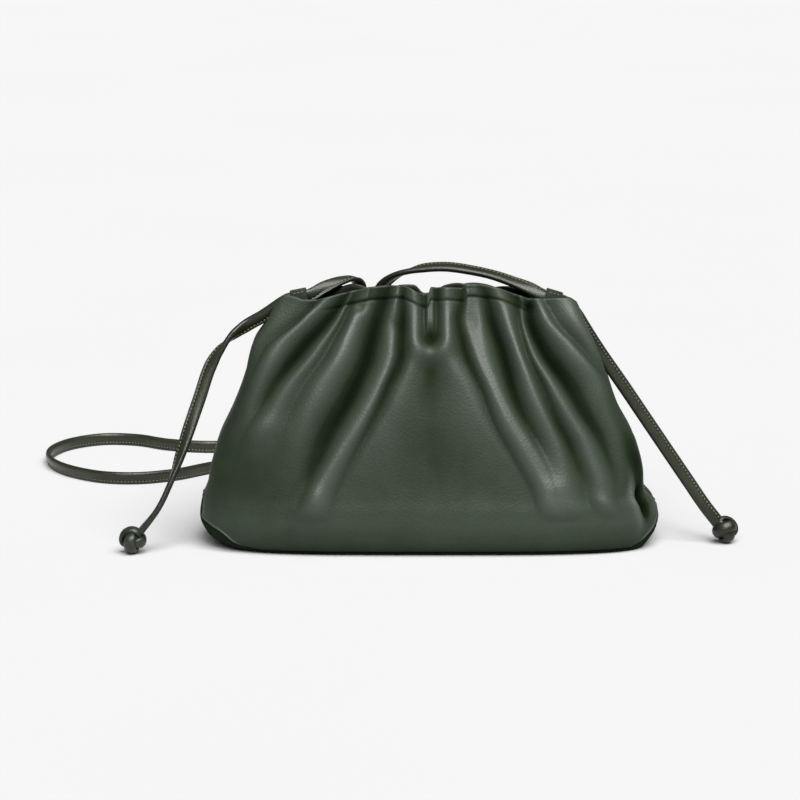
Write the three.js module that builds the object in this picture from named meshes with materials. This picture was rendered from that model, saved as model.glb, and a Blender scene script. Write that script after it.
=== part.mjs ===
// A small gathered pouch bag of soft leather, with one drawstring strap knotted at both ends.
// Millimetres. X runs along the bag, -Y is its front, Z is up, and it stands on Z = 0.
import * as THREE from 'three';
import { mergeVertices } from 'three/addons/utils/BufferGeometryUtils.js';

// Driving sizes of the bag
const bagLength = 227;
const bagDepth = 75;
const bagHeight = 128;
const leatherWall = 1.4;
const hemWall = 2.2;
const hemHeight = 6.5;
const seamGap = 0.3;
const baseSeamGap = 0.45;
const baseSeamHeight = 2;
const baseEndHeight = 24;
const seamDip = 2.8;
const foldRise = 7;
const foldBreadth = 11.5;
const pinchBreadth = 6.5;
const pinchDrop = 20;
const pinchDepth = 3.5;
const pinchLip = 2.8;

// Driving sizes of the strap and what it runs through
const strapWidth = 6.5;
const strapThickness = 2.6;
const strapEdge = 0.8;
const keeperLength = 8;
const keeperWall = 1.1;
const keeperClearance = 0.3;
const knotLength = 14.2;
const knotThickness = 15.4;
const wrapRelief = 0.9;

// The folds die away towards the side seams and the base: from none at the first share to all of
// their rise at the second
const sideFade = [0.05, 0.5];
const baseFade = [0, 0.12];

// How finely each surface is divided
const frontColumns = 56;
const frontRows = 15;
const backColumns = 38;
const backRows = 11;
const knotSides = 16;
const knotRings = 11;

// Cross sections from the floor to the rim. Height is a share of bagHeight, left and right are shares
// of half the length, front and back of half the depth, and tuck, the side seam's fold inwards, of
// half the depth too. Square is the exponent of the rounded outline: 2 is an ellipse.
const sections = [
  { height: 0.000, left: 0.884, right: 0.925, front: 0.827, back: 0.827, tuck: 0.00, square: 3.9 },
  { height: 0.008, left: 0.918, right: 0.944, front: 0.885, back: 0.885, tuck: 0.00, square: 3.9 },
  { height: 0.031, left: 0.966, right: 0.964, front: 0.950, back: 0.945, tuck: 0.00, square: 3.6 },
  { height: 0.062, left: 0.992, right: 0.984, front: 0.985, back: 0.980, tuck: 0.00, square: 3.4 },
  { height: 0.110, left: 1.000, right: 0.994, front: 1.000, back: 1.000, tuck: 0.00, square: 3.2 },
  { height: 0.170, left: 1.000, right: 0.980, front: 0.990, back: 0.995, tuck: 0.02, square: 3.1 },
  { height: 0.220, left: 0.998, right: 0.954, front: 0.955, back: 0.970, tuck: 0.10, square: 3.1 },
  { height: 0.280, left: 0.994, right: 0.958, front: 0.915, back: 0.935, tuck: 0.17, square: 3.1 },
  { height: 0.410, left: 0.952, right: 0.922, front: 0.855, back: 0.880, tuck: 0.13, square: 2.9 },
  { height: 0.530, left: 0.898, right: 0.858, front: 0.780, back: 0.810, tuck: 0.17, square: 2.8 },
  { height: 0.660, left: 0.856, right: 0.815, front: 0.665, back: 0.700, tuck: 0.24, square: 2.7 },
  { height: 0.780, left: 0.832, right: 0.762, front: 0.520, back: 0.550, tuck: 0.33, square: 2.6 },
  { height: 0.875, left: 0.778, right: 0.726, front: 0.385, back: 0.410, tuck: 0.45, square: 2.5 },
  { height: 0.940, left: 0.744, right: 0.700, front: 0.290, back: 0.305, tuck: 0.46, square: 2.5 },
  { height: 1.000, left: 0.706, right: 0.650, front: 0.240, back: 0.240, tuck: 0.44, square: 2.5 },
];

// The tuck's breadth as a share of the depth at its height
const tuckBreadth = 0.4;

// Rim heights as shares of bagHeight, against the place across: -1 at the left end, 1 at the right
const frontRim = [
  { across: -1.00, height: 0.934 },
  { across: -0.72, height: 0.948 },
  { across: -0.56, height: 0.976 },
  { across: -0.24, height: 1.000 },
  { across: -0.10, height: 0.992 },
  { across: -0.03, height: 0.978 },
  { across: 0.04, height: 0.996 },
  { across: 0.25, height: 1.000 },
  { across: 0.55, height: 0.980 },
  { across: 0.70, height: 0.952 },
  { across: 1.00, height: 0.928 },
];
const backRim = [
  { across: -1.00, height: 0.935 },
  { across: -0.70, height: 0.930 },
  { across: -0.45, height: 0.945 },
  { across: -0.25, height: 0.985 },
  { across: 0.25, height: 0.995 },
  { across: 0.55, height: 0.975 },
  { across: 1.00, height: 0.928 },
];

// Where the base's seam climbs at the two ends, as shares of baseEndHeight
const baseSeam = [
  { across: 0.00, height: 0.00 },
  { across: 0.82, height: 0.00 },
  { across: 0.88, height: 0.22 },
  { across: 0.93, height: 0.50 },
  { across: 0.98, height: 0.85 },
  { across: 1.00, height: 1.00 },
];

// Folds that run down from the gathers. Each one's crest passes through a top, a middle and a foot:
// heights are shares of bagHeight and places across are shares of half the length at that height.
// Rise is a share of foldRise, and the breadths are shares of foldBreadth.
const frontFolds = [
  { top: [0.94, -0.74], middle: [0.79, -0.84], foot: [0.62, -0.95], rise: 0.50, breadths: [0.45, 0.80] },
  { top: [0.93, -0.53], middle: [0.70, -0.77], foot: [0.44, -0.85], rise: 0.65, breadths: [0.40, 1.00] },
  { top: [0.90, -0.44], middle: [0.65, -0.57], foot: [0.45, -0.66], rise: 0.55, breadths: [0.40, 0.95] },
  { top: [0.95, -0.26], middle: [0.58, -0.32], foot: [0.20, -0.49], rise: 0.90, breadths: [0.50, 0.95] },
  { top: [0.82, -0.09], middle: [0.65, -0.17], foot: [0.37, -0.31], rise: 0.55, breadths: [0.60, 0.85] },
  { top: [0.86, 0.10], middle: [0.66, 0.14], foot: [0.35, 0.36], rise: 0.55, breadths: [0.50, 0.85] },
  { top: [0.95, 0.29], middle: [0.70, 0.28], foot: [0.23, 0.54], rise: 0.90, breadths: [0.55, 0.95] },
  { top: [0.95, 0.53], middle: [0.70, 0.54], foot: [0.32, 0.66], rise: 0.75, breadths: [0.45, 0.90] },
  { top: [0.88, 0.62], middle: [0.64, 0.67], foot: [0.14, 0.79], rise: 0.75, breadths: [0.40, 0.90] },
  { top: [0.93, 0.75], middle: [0.74, 0.84], foot: [0.56, 0.95], rise: 0.50, breadths: [0.45, 0.80] },
];
const backFolds = [
  { top: [0.92, -0.72], middle: [0.75, -0.82], foot: [0.50, -0.92], rise: 0.45, breadths: [0.50, 0.90] },
  { top: [0.94, -0.48], middle: [0.66, -0.60], foot: [0.34, -0.72], rise: 0.60, breadths: [0.45, 1.00] },
  { top: [0.96, -0.14], middle: [0.62, -0.22], foot: [0.28, -0.40], rise: 0.70, breadths: [0.50, 1.00] },
  { top: [0.96, 0.12], middle: [0.66, 0.12], foot: [0.42, 0.08], rise: 0.50, breadths: [0.50, 0.95] },
  { top: [0.96, 0.34], middle: [0.62, 0.42], foot: [0.24, 0.50], rise: 0.75, breadths: [0.50, 1.00] },
  { top: [0.94, 0.60], middle: [0.68, 0.68], foot: [0.40, 0.76], rise: 0.60, breadths: [0.45, 0.95] },
  { top: [0.92, 0.76], middle: [0.74, 0.85], foot: [0.52, 0.93], rise: 0.45, breadths: [0.50, 0.90] },
];

// The keepers at the two side seams. Inset is how far the middle lies inwards of the seam's top and
// lift how far above it. Outward is the strap's way out, and face the way that its stitched face looks.
const keepers = {
  left: { turn: 0, inset: 5.0, lift: 5.1, outward: [-1, 0, -0.2], face: [0, -1, 0.12] },
  right: { turn: Math.PI, inset: 4.2, lift: 5.4, outward: [1, 0, -0.3], face: [0, -1, 0.12] },
};

// The strap's route between the keepers and the knots, chosen by hand: a place, then the way that the
// stitched face looks there
const leftTailRoute = [
  [-72.4, 0.1, 120.8, 0, -1, 0.05],
  [-77.4, 0.3, 118.0, 0, -1, 0],
  [-82.4, 0.8, 113.8, 0, -1, 0],
  [-89.2, 2, 108.8, 0, -1, 0],
  [-96.6, 0, 103, 0, -1, 0],
  [-103.2, -2, 96, 0, -1, 0],
  [-107.8, -4, 88, 0, -1, 0],
  [-112.9, -8, 73.3, -0.1, -1, 0],
  [-118.1, -13, 58.4, -0.3, -1, 0],
  [-121.9, -17, 47.3, -0.6, -1, 0],
  [-127.4, -22, 32.4, -0.7, -1, 0],
  [-132.6, -25, 22, -0.4, -1, 0],
  [-140.7, -27.4, 11.7, -0.2, -1, 0.2],
];
const rightTailRoute = [
  [70.6, 0.2, 118.2, 0, -1, 0],
  [73.4, 0.3, 115.0, 0, -1, 0],
  [76.0, 0.6, 111.0, 0, -1, 0],
  [79.8, 1, 103.6, 0, -1, 0],
  [84.0, 1.5, 95.4, 0, -1, 0],
  [94.4, 1, 79.3, 0, -1, 0],
  [105.1, 0, 63.1, 0, -1, 0],
  [116.2, -2, 46.9, 0, -1, 0],
  [127.5, -4, 30.5, 0, -1, 0],
  [135.6, -6, 18.8, 0, -1, 0],
  [140.1, -6.8, 12.8, 0, -1, 0.2],
];
const shoulderRoute = [
  [-52.0, 3.4, 126.2, 0, -0.9, 0.6],
  [-43.5, 8, 128.9, 0, -0.3, 1],
  [-37.5, 11.5, 129.2, 0.2, 0.3, 1],
  [-33.6, 14.8, 125.6, 0.3, 1, 0.6],
  [-32.4, 17.6, 118.4, 0, 1, 0.3],
  [-32.0, 24.6, 105, 0, 1, 0.4],
  [-32.5, 33.2, 84, 0, 1, 0.3],
  [-33.0, 38.4, 62, 0, 1, 0.1],
  [-33.6, 41.5, 40, 0, 1, 0.1],
  [-34.4, 46, 18, 0, 1, 0.3],
  [-36.0, 58, 6.5, 0, 0.6, 1],
  [-38.5, 78, 3.6, 0.3, 0.3, 1],
  [-44.0, 112, 3.6, 0.8, 0.2, 0.7],
  [-55.0, 143, 3.6, 0.9, 0.5, 0.4],
  [-76.0, 163, 3.6, 0.5, 1, 0.2],
  [-98.0, 160, 3.6, -0.2, 1, 0.1],
  [-117.5, 146, 3.6, -0.5, 1, 0.1],
  [-136.0, 129, 3.6, -0.4, 1, 0.1],
  [-154.0, 121, 3.6, 0, 1, 0.1],
  [-172.0, 122.5, 3.6, 0.2, 1, 0.1],
  [-188.0, 133, 3.6, 0.5, 1, 0.1],
  [-201.0, 149, 3.6, 1, 0.8, 0.1],
  [-208.0, 168, 3.6, 1, 0.2, 0.1],
  [-208.0, 188, 3.6, 1, -0.2, 0.1],
  [-199.0, 208, 3.6, 1, -1, 0.1],
  [-182.0, 219.5, 3.6, 0.3, -1, 0.1],
  [-163.0, 217, 3.6, -0.3, -1, 0.1],
  [-145.0, 205, 3.6, -0.5, -1, 0.1],
  [-122.0, 199, 3.6, -0.1, -1, 0.1],
  [-90.0, 205, 3.6, 0.1, -1, 0.1],
  [-55.0, 203, 3.6, -0.2, -1, 0.2],
  [-26.0, 182, 3.6, -0.8, -1, 0.4],
  [-14.0, 148, 3.6, -1, -0.2, 0.6],
  [-12.0, 112, 3.6, -0.7, 0, 1],
  [-13.0, 78, 3.8, -0.2, 0.2, 1],
  [-15.0, 58, 6.8, 0, 0.6, 1],
  [-17.0, 46.5, 18, 0, 1, 0.4],
  [-18.5, 41.5, 40, 0, 1, 0.1],
  [-20.0, 38.4, 62, 0, 1, 0.1],
  [-21.5, 33.2, 84, 0, 1, 0.3],
  [-22.8, 24.8, 106, 0, 1, 0.4],
  [-22.8, 18.4, 119, 0, 1, 0.3],
  [-20.6, 15.2, 127.4, -0.3, 1, 0.5],
  [-14.0, 13.6, 131.6, -0.3, 0.2, 1],
  [-4.0, 12.6, 134.4, -0.1, -0.4, 1],
  [8.0, 11.6, 135.2, 0, -0.5, 1],
  [20.0, 10.2, 133.8, 0, -0.5, 1],
  [31.0, 8.4, 131.6, 0, -0.5, 1],
  [41.0, 5.2, 128.6, 0, -0.6, 0.9],
  [49.0, 2.2, 125.7, 0, -0.9, 0.5],
];
const strapMeetingGap = 0.3;
const leftKnotPlace = [-145.2, -28];
const rightKnotPlace = [145.6, -7];

const leather = { color: '#3f4a3e', roughness: 0.42, metalness: 0 };
const strapLeather = { color: '#33372a', roughness: 0.45, metalness: 0 };
const baseLeather = { color: '#343b33', roughness: 0.45, metalness: 0 };

// The value of one column of a table at a place between its rows, on a smooth curve that doesn't
// overshoot the rows
function readTable(rows, keyColumn, valueColumn, at) {
  const keys = rows.map((row) => row[keyColumn]);
  const values = rows.map((row) => row[valueColumn]);
  const last = rows.length - 1;
  const place = THREE.MathUtils.clamp(at, keys[0], keys[last]);
  let i = 0;
  while (i < last - 1 && place > keys[i + 1]) {
    i += 1;
  }
  const rate = (k) => (values[k + 1] - values[k]) / (keys[k + 1] - keys[k]);
  const slope = (k) => {
    if (k === 0 || k === last) {
      return rate(Math.min(k, last - 1));
    }
    const product = rate(k - 1) * rate(k);
    return product > 0 ? (2 * product) / (rate(k - 1) + rate(k)) : 0;
  };
  const span = keys[i + 1] - keys[i];
  const t = (place - keys[i]) / span;
  const ease = t * t * (3 - 2 * t);
  const startPull = t * (1 - t) * (1 - t) * span * slope(i);
  const endPull = t * t * (t - 1) * span * slope(i + 1);
  return values[i] * (1 - ease) + values[i + 1] * ease + startPull + endPull;
}

// Half the bag's length and depth at a height, on the side that a turn faces.
// A turn of 0 is the left side seam, a quarter turn the middle of the front, and half the right seam.
function halfSizes(turn, height) {
  const share = height / bagHeight;
  const end = Math.cos(turn) > 0 ? 'left' : 'right';
  const face = Math.sin(turn) > 0 ? 'front' : 'back';
  return {
    length: (readTable(sections, 'height', end, share) * bagLength) / 2,
    depth: (readTable(sections, 'height', face, share) * bagDepth) / 2,
    tuck: (readTable(sections, 'height', 'tuck', share) * bagDepth) / 2,
    square: readTable(sections, 'height', 'square', share),
  };
}

const rounded = (value, power) => Math.sign(value) * Math.abs(value) ** power;

// A point of the bag's outside before it is folded
function bodyPoint(turn, height) {
  const size = halfSizes(turn, height);
  const power = 2 / size.square;
  const x = -rounded(Math.cos(turn), power) * size.length;
  const y = -rounded(Math.sin(turn), power) * size.depth;
  const tucked = size.tuck * Math.exp(-((y / (tuckBreadth * size.depth)) ** 2));
  return new THREE.Vector3(x - Math.sign(x) * tucked, y, height);
}

// The outward direction of the unfolded outside
function bodyNormal(turn, height) {
  const turnStep = 0.01;
  const heightStep = 0.4;
  const low = Math.max(height - heightStep, 0);
  const along = bodyPoint(turn + turnStep, height).sub(bodyPoint(turn - turnStep, height));
  const up = bodyPoint(turn, height + heightStep).sub(bodyPoint(turn, low));
  return along.cross(up).normalize();
}

// How far across a turn lies, from -1 at the left seam to 1 at the right, on the bag's widest section
const widest = sections.find((section) => section.left === 1);
const acrossAt = (turn) => -rounded(Math.cos(turn), 2 / widest.square);

// A curve through three points, read at a height between the foot and the top
function crestAcross(fold, share) {
  const [topHeight, topAcross] = fold.top;
  const [middleHeight, middleAcross] = fold.middle;
  const [footHeight, footAcross] = fold.foot;
  const h = THREE.MathUtils.clamp(share, footHeight, topHeight);
  const topPart = ((h - middleHeight) * (h - footHeight))
    / ((topHeight - middleHeight) * (topHeight - footHeight));
  const middlePart = ((h - topHeight) * (h - footHeight))
    / ((middleHeight - topHeight) * (middleHeight - footHeight));
  const footPart = ((h - topHeight) * (h - middleHeight))
    / ((footHeight - topHeight) * (footHeight - middleHeight));
  return topAcross * topPart + middleAcross * middlePart + footAcross * footPart;
}

// How far the folds push the leather out at a place
function foldHeight(folds, across, height, halfLength) {
  const share = height / bagHeight;
  let rise = 0;
  for (const fold of folds) {
    const upFold = THREE.MathUtils.smoothstep(share, fold.foot[0], fold.top[0]);
    const breadth = foldBreadth * THREE.MathUtils.lerp(fold.breadths[1], fold.breadths[0], upFold);
    const aside = (across - crestAcross(fold, share)) * halfLength;
    const below = Math.max(0, fold.foot[0] - share) * bagHeight;
    rise += fold.rise * foldRise * Math.exp(-(aside * aside + below * below) / breadth ** 2);
  }
  return rise;
}

// The gather in the middle of the front: a groove down from the rim with a raised edge round its foot
function pinchHeight(across, height, halfLength) {
  const aside = across * halfLength;
  const below = Math.max(0, bagHeight - pinchDrop - height);
  const away = Math.hypot(aside, below);
  const grooveBreadth = 0.6 * pinchBreadth;
  const lipBreadth = 0.55 * pinchBreadth;
  const groove = -pinchDepth * Math.exp(-((away / grooveBreadth) ** 2));
  const lip = pinchLip * Math.exp(-(((away - pinchBreadth) / lipBreadth) ** 2));
  return groove + lip;
}

function frontRise(across, height, halfLength) {
  return foldHeight(frontFolds, across, height, halfLength) + pinchHeight(across, height, halfLength);
}

function backRise(across, height, halfLength) {
  return foldHeight(backFolds, across, height, halfLength);
}

// Turns spaced evenly along a middle section of the bag, from one turn to another
function evenTurns(from, to, count) {
  const fineSteps = 400;
  const height = bagHeight / 2;
  const turns = [];
  const lengths = [];
  let length = 0;
  for (let i = 0; i <= fineSteps; i += 1) {
    const turn = THREE.MathUtils.lerp(from, to, i / fineSteps);
    if (i > 0) {
      length += bodyPoint(turn, height).distanceTo(bodyPoint(turns[i - 1], height));
    }
    turns.push(turn);
    lengths.push(length);
  }
  const even = [];
  for (let i = 0; i <= count; i += 1) {
    const wanted = (length * i) / count;
    let k = lengths.findIndex((value) => value >= wanted - 1e-9);
    k = Math.max(k, 1);
    const part = (wanted - lengths[k - 1]) / (lengths[k] - lengths[k - 1]);
    even.push(THREE.MathUtils.lerp(turns[k - 1], turns[k], part));
  }
  return even;
}

const baseSeamAt = (turn) => baseSeamHeight
  + (baseEndHeight - baseSeamHeight) * readTable(baseSeam, 'across', 'height', Math.abs(acrossAt(turn)));

// How far a wall stops short of the base's seam, so that the gap across a climbing seam stays the same
function seamRoom(turn) {
  const turnStep = 0.02;
  const before = bodyPoint(turn - turnStep, baseSeamAt(turn - turnStep));
  const after = bodyPoint(turn + turnStep, baseSeamAt(turn + turnStep));
  const climb = (after.z - before.z) / Math.hypot(after.x - before.x, after.y - before.y);
  return (baseSeamGap / 2) * Math.hypot(1, climb);
}

function rimAt(rim, turn) {
  const dipBreadth = 0.3;
  const dip = seamDip * Math.exp(-((Math.sin(turn) / dipBreadth) ** 2));
  return bagHeight * readTable(rim, 'across', 'height', acrossAt(turn)) - dip;
}

// Shares of a panel's height at its rows, with two rows close together where the hem's wall thickens
function panelRows(rows) {
  const hemShare = hemHeight / bagHeight;
  const shares = [];
  for (let i = 0; i <= rows; i += 1) {
    shares.push({ share: ((1 - hemShare) * i) / rows, wall: leatherWall });
  }
  const stepShare = 0.15;
  shares.push({ share: 1 - hemShare * (1 - stepShare), wall: hemWall });
  shares.push({ share: 1, wall: hemWall });
  return shares;
}

// The outer and inner points of a panel, row by row from the base seam to the rim
function panelGrid(turns, rows, rim, riseAt, shift) {
  const outer = [];
  const inner = [];
  for (const { share, wall } of panelRows(rows)) {
    const outerRow = [];
    const innerRow = [];
    for (const turn of turns) {
      const foot = baseSeamAt(turn) + seamRoom(turn);
      const height = THREE.MathUtils.lerp(foot, rimAt(rim, turn), share);
      const size = halfSizes(turn, height);
      const across = -rounded(Math.cos(turn), 2 / size.square);
      const normal = bodyNormal(turn, height);
      const fromSide = THREE.MathUtils.smoothstep(Math.abs(Math.sin(turn)), ...sideFade);
      const fromBase = THREE.MathUtils.smoothstep(share, ...baseFade);
      const rise = riseAt(across, height, size.length) * fromSide * fromBase;
      const skin = bodyPoint(turn, height).addScaledVector(normal, rise);
      skin.y += shift;
      outerRow.push(skin);
      innerRow.push(skin.clone().addScaledVector(normal, -wall));
    }
    outer.push(outerRow);
    inner.push(innerRow);
  }
  return { outer, inner };
}

// Collects triangles, leaving out any whose corners meet in one place
class Skin {
  constructor() {
    this.coordinates = [];
  }

  triangle(a, b, c) {
    const tiny = 1e-5;
    if (a.distanceTo(b) > tiny && b.distanceTo(c) > tiny && c.distanceTo(a) > tiny) {
      this.coordinates.push(...a.toArray(), ...b.toArray(), ...c.toArray());
    }
  }

  // Four corners, seen from outside in the direction opposite to a clock's
  quad(a, b, c, d) {
    this.triangle(a, b, c);
    this.triangle(a, c, d);
  }

  geometry() {
    const loose = new THREE.BufferGeometry();
    loose.setAttribute('position', new THREE.Float32BufferAttribute(this.coordinates, 3));
    const closed = mergeVertices(loose, 1e-4);
    closed.computeVertexNormals();
    return closed;
  }
}

// A wall between an outer and an inner grid of points. Rows run upwards and columns to the right as
// seen from outside. A closed wall joins its last column to its first, and one with a middle starts
// from a single point instead of an edge.
function wallGeometry({ outer, inner }, { closed, hasMiddle }) {
  const skin = new Skin();
  const rows = outer.length;
  const columns = outer[0].length;
  const spans = closed ? columns : columns - 1;
  for (let i = 0; i < spans; i += 1) {
    const next = (i + 1) % columns;
    for (let k = 0; k < rows - 1; k += 1) {
      skin.quad(outer[k][i], outer[k][next], outer[k + 1][next], outer[k + 1][i]);
      skin.quad(inner[k][i], inner[k + 1][i], inner[k + 1][next], inner[k][next]);
    }
    skin.quad(outer[rows - 1][i], outer[rows - 1][next], inner[rows - 1][next], inner[rows - 1][i]);
    if (!hasMiddle) {
      skin.quad(inner[0][i], inner[0][next], outer[0][next], outer[0][i]);
    }
  }
  if (!closed) {
    const end = columns - 1;
    for (let k = 0; k < rows - 1; k += 1) {
      skin.quad(inner[k][0], outer[k][0], outer[k + 1][0], inner[k + 1][0]);
      skin.quad(outer[k][end], inner[k][end], inner[k + 1][end], outer[k + 1][end]);
    }
  }
  return skin.geometry();
}

const frontTurns = evenTurns(0, Math.PI, frontColumns);
const backTurns = evenTurns(-Math.PI, 0, backColumns);

function frontPanel() {
  const grid = panelGrid(frontTurns, frontRows, frontRim, frontRise, -seamGap / 2);
  return wallGeometry(grid, { closed: false, hasMiddle: false });
}

function backPanel() {
  const grid = panelGrid(backTurns, backRows, backRim, backRise, seamGap / 2);
  return wallGeometry(grid, { closed: false, hasMiddle: false });
}

// The flat underside and the rounded edge that climbs from it to the seam with the two panels
function basePanel() {
  const turns = [...backTurns.slice(0, backColumns), ...frontTurns.slice(0, frontColumns)];
  const flatShares = [0, 0.45, 0.85];
  const climbShares = [0, 0.25, 0.5, 0.75, 1];
  const outer = [];
  const inner = [];
  for (const share of flatShares) {
    const flatPoint = (turn, height) => bodyPoint(turn, 0).multiplyScalar(share).setZ(height);
    outer.push(turns.map((turn) => flatPoint(turn, 0)));
    inner.push(turns.map((turn) => flatPoint(turn, leatherWall)));
  }
  for (const share of climbShares) {
    const heightAt = (turn) => share * (baseSeamAt(turn) - seamRoom(turn));
    const skin = turns.map((turn) => bodyPoint(turn, heightAt(turn)));
    outer.push(skin);
    inner.push(turns.map((turn, i) => (
      skin[i].clone().addScaledVector(bodyNormal(turn, heightAt(turn)), -leatherWall)
    )));
  }
  return wallGeometry({ outer, inner }, { closed: true, hasMiddle: true });
}

// A strap's centre line, whose flat face looks where the route says. Steps follow the route's points,
// which lie closer together in the bends.
class StrapPath extends THREE.CatmullRomCurve3 {
  constructor(route) {
    super(route.map(([x, y, z]) => new THREE.Vector3(x, y, z)));
    this.faces = new THREE.CatmullRomCurve3(route.map(([, , , x, y, z]) => new THREE.Vector3(x, y, z)));
  }

  getSpacedPoints(steps) {
    return this.getPoints(steps);
  }

  computeFrenetFrames(steps) {
    const tangents = [];
    const normals = [];
    const binormals = [];
    for (let i = 0; i <= steps; i += 1) {
      const tangent = this.getTangent(i / steps).normalize();
      const face = this.faces.getPoint(i / steps);
      const flat = face.addScaledVector(tangent, -face.dot(tangent)).normalize();
      tangents.push(tangent);
      normals.push(flat);
      binormals.push(new THREE.Vector3().crossVectors(tangent, flat));
    }
    return { tangents, normals, binormals };
  }
}

// An eight-sided outline of a flat strap: its thickness along X and its width along Y
function strapOutline(thickness, width, edge) {
  const t = thickness / 2;
  const w = width / 2;
  return [
    [t, -w + edge], [t, w - edge], [t - edge, w], [-t + edge, w],
    [-t, w - edge], [-t, -w + edge], [-t + edge, -w], [t - edge, -w],
  ].map(([x, y]) => new THREE.Vector2(x, y));
}

function strapGeometry(route) {
  const outline = new THREE.Shape(strapOutline(strapThickness, strapWidth, strapEdge));
  const path = new StrapPath(route);
  const steps = route.length - 1;
  return new THREE.ExtrudeGeometry(outline, { steps, extrudePath: path, bevelEnabled: false });
}

// A row of a strap's route on the line through a keeper, so far outwards from its middle
function keeperRow(keeper, outwards) {
  const outward = new THREE.Vector3(...keeper.outward).normalize();
  const place = bodyPoint(keeper.turn, rimAt(frontRim, keeper.turn));
  place.add(new THREE.Vector3(-Math.sign(place.x) * keeper.inset, 0, keeper.lift));
  place.addScaledVector(outward, outwards);
  return [...place.toArray(), ...keeper.face];
}

// A strap's run starts straight, from the middle of a keeper to a little past its mouth
function keeperRun(keeper, side) {
  const straight = keeperLength / 2 + 1.2;
  return [keeperRow(keeper, (side * strapMeetingGap) / 2), keeperRow(keeper, side * straight)];
}

// A sleeve of leather round the strap
function keeperGeometry(keeper) {
  const path = new StrapPath([keeperRow(keeper, -keeperLength / 2), keeperRow(keeper, keeperLength / 2)]);
  const insideThickness = strapThickness + 2 * keeperClearance;
  const insideWidth = strapWidth + 2 * keeperClearance;
  const outsideThickness = insideThickness + 2 * keeperWall;
  const outsideWidth = insideWidth + 2 * keeperWall;
  const sleeve = new THREE.Shape(strapOutline(outsideThickness, outsideWidth, strapEdge + keeperWall / 2));
  sleeve.holes.push(new THREE.Path(strapOutline(insideThickness, insideWidth, strapEdge)));
  return new THREE.ExtrudeGeometry(sleeve, { steps: 1, extrudePath: path, bevelEnabled: false });
}

// An overhand knot pulled tight: a ball of three slanting wraps
function knotGeometry() {
  const ball = new THREE.SphereGeometry(1, knotSides, knotRings);
  const points = ball.getAttribute('position');
  const point = new THREE.Vector3();
  const wraps = 3;
  const slant = 2;
  for (let i = 0; i < points.count; i += 1) {
    point.fromBufferAttribute(points, i);
    const around = Math.atan2(point.z, point.x);
    const flatness = 1 - point.y * point.y;
    const relief = wrapRelief * flatness * Math.cos(wraps * around + slant * point.y);
    point.set(
      point.x * (knotThickness / 2 - wrapRelief + relief),
      point.y * (knotLength / 2),
      point.z * (knotThickness / 2 - wrapRelief + relief),
    );
    points.setXYZ(i, point.x, point.y, point.z);
  }
  ball.deleteAttribute('normal');
  ball.deleteAttribute('uv');
  const closed = mergeVertices(ball, 1e-4);
  closed.computeVertexNormals();
  return closed;
}

const bag = new THREE.Group();

function addPiece(name, geometry, finish, parent = bag) {
  const mesh = new THREE.Mesh(geometry, new THREE.MeshStandardMaterial(finish));
  mesh.name = name;
  parent.add(mesh);
  return mesh;
}

addPiece('front_panel', frontPanel(), leather);
addPiece('back_panel', backPanel(), leather);
addPiece('base_panel', basePanel(), baseLeather);
addPiece('keeper_left', keeperGeometry(keepers.left), strapLeather);
addPiece('keeper_right', keeperGeometry(keepers.right), strapLeather);

const leftStart = keeperRun(keepers.left, -1);
const rightEnd = keeperRun(keepers.right, -1).reverse();
addPiece('shoulder_strap', strapGeometry([...leftStart, ...shoulderRoute, ...rightEnd]), strapLeather);
addPiece('tail_left', strapGeometry([...keeperRun(keepers.left, 1), ...leftTailRoute]), strapLeather);
addPiece('tail_right', strapGeometry([...keeperRun(keepers.right, 1), ...rightTailRoute]), strapLeather);

function addKnot(name, [x, y]) {
  const geometry = knotGeometry();
  geometry.computeBoundingBox();
  const knot = addPiece(name, geometry, strapLeather);
  knot.position.set(x, y, -geometry.boundingBox.min.z);
}

addKnot('knot_left', leftKnotPlace);
addKnot('knot_right', rightKnotPlace);

export default bag;
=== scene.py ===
import math

import bpy
import numpy as np
from mathutils import Euler, Matrix, Vector, noise


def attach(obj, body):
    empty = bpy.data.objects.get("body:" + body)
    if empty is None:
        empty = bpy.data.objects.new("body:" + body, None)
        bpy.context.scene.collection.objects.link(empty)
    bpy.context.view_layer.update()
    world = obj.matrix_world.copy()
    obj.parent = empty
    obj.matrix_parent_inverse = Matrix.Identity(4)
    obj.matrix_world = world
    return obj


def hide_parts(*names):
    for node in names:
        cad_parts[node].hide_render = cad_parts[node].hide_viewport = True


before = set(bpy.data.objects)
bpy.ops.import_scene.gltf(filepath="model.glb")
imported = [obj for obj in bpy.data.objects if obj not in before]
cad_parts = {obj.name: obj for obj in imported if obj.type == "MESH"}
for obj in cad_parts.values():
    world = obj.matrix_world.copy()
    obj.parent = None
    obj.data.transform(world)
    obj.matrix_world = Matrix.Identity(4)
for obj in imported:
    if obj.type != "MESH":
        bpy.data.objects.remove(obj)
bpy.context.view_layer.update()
bpy.ops.object.select_all(action="DESELECT")
print("frame loaded:", len(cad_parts), "nodes")

mm = 0.001
scene = bpy.context.scene
scene.view_settings.view_transform = "Standard"
scene.view_settings.look = "None"


# Camera: in front of the bag and a little above it, through a long lens
viewpoint = {
    "target": Vector((-14.8, 0, 70.7)) * mm,
    "distance": 1.5,
    "elevation": math.radians(11.5),
    "focalPixels": 3048.8,
    "framePixels": 800,
    "sensorWidth": 36,
}


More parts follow.
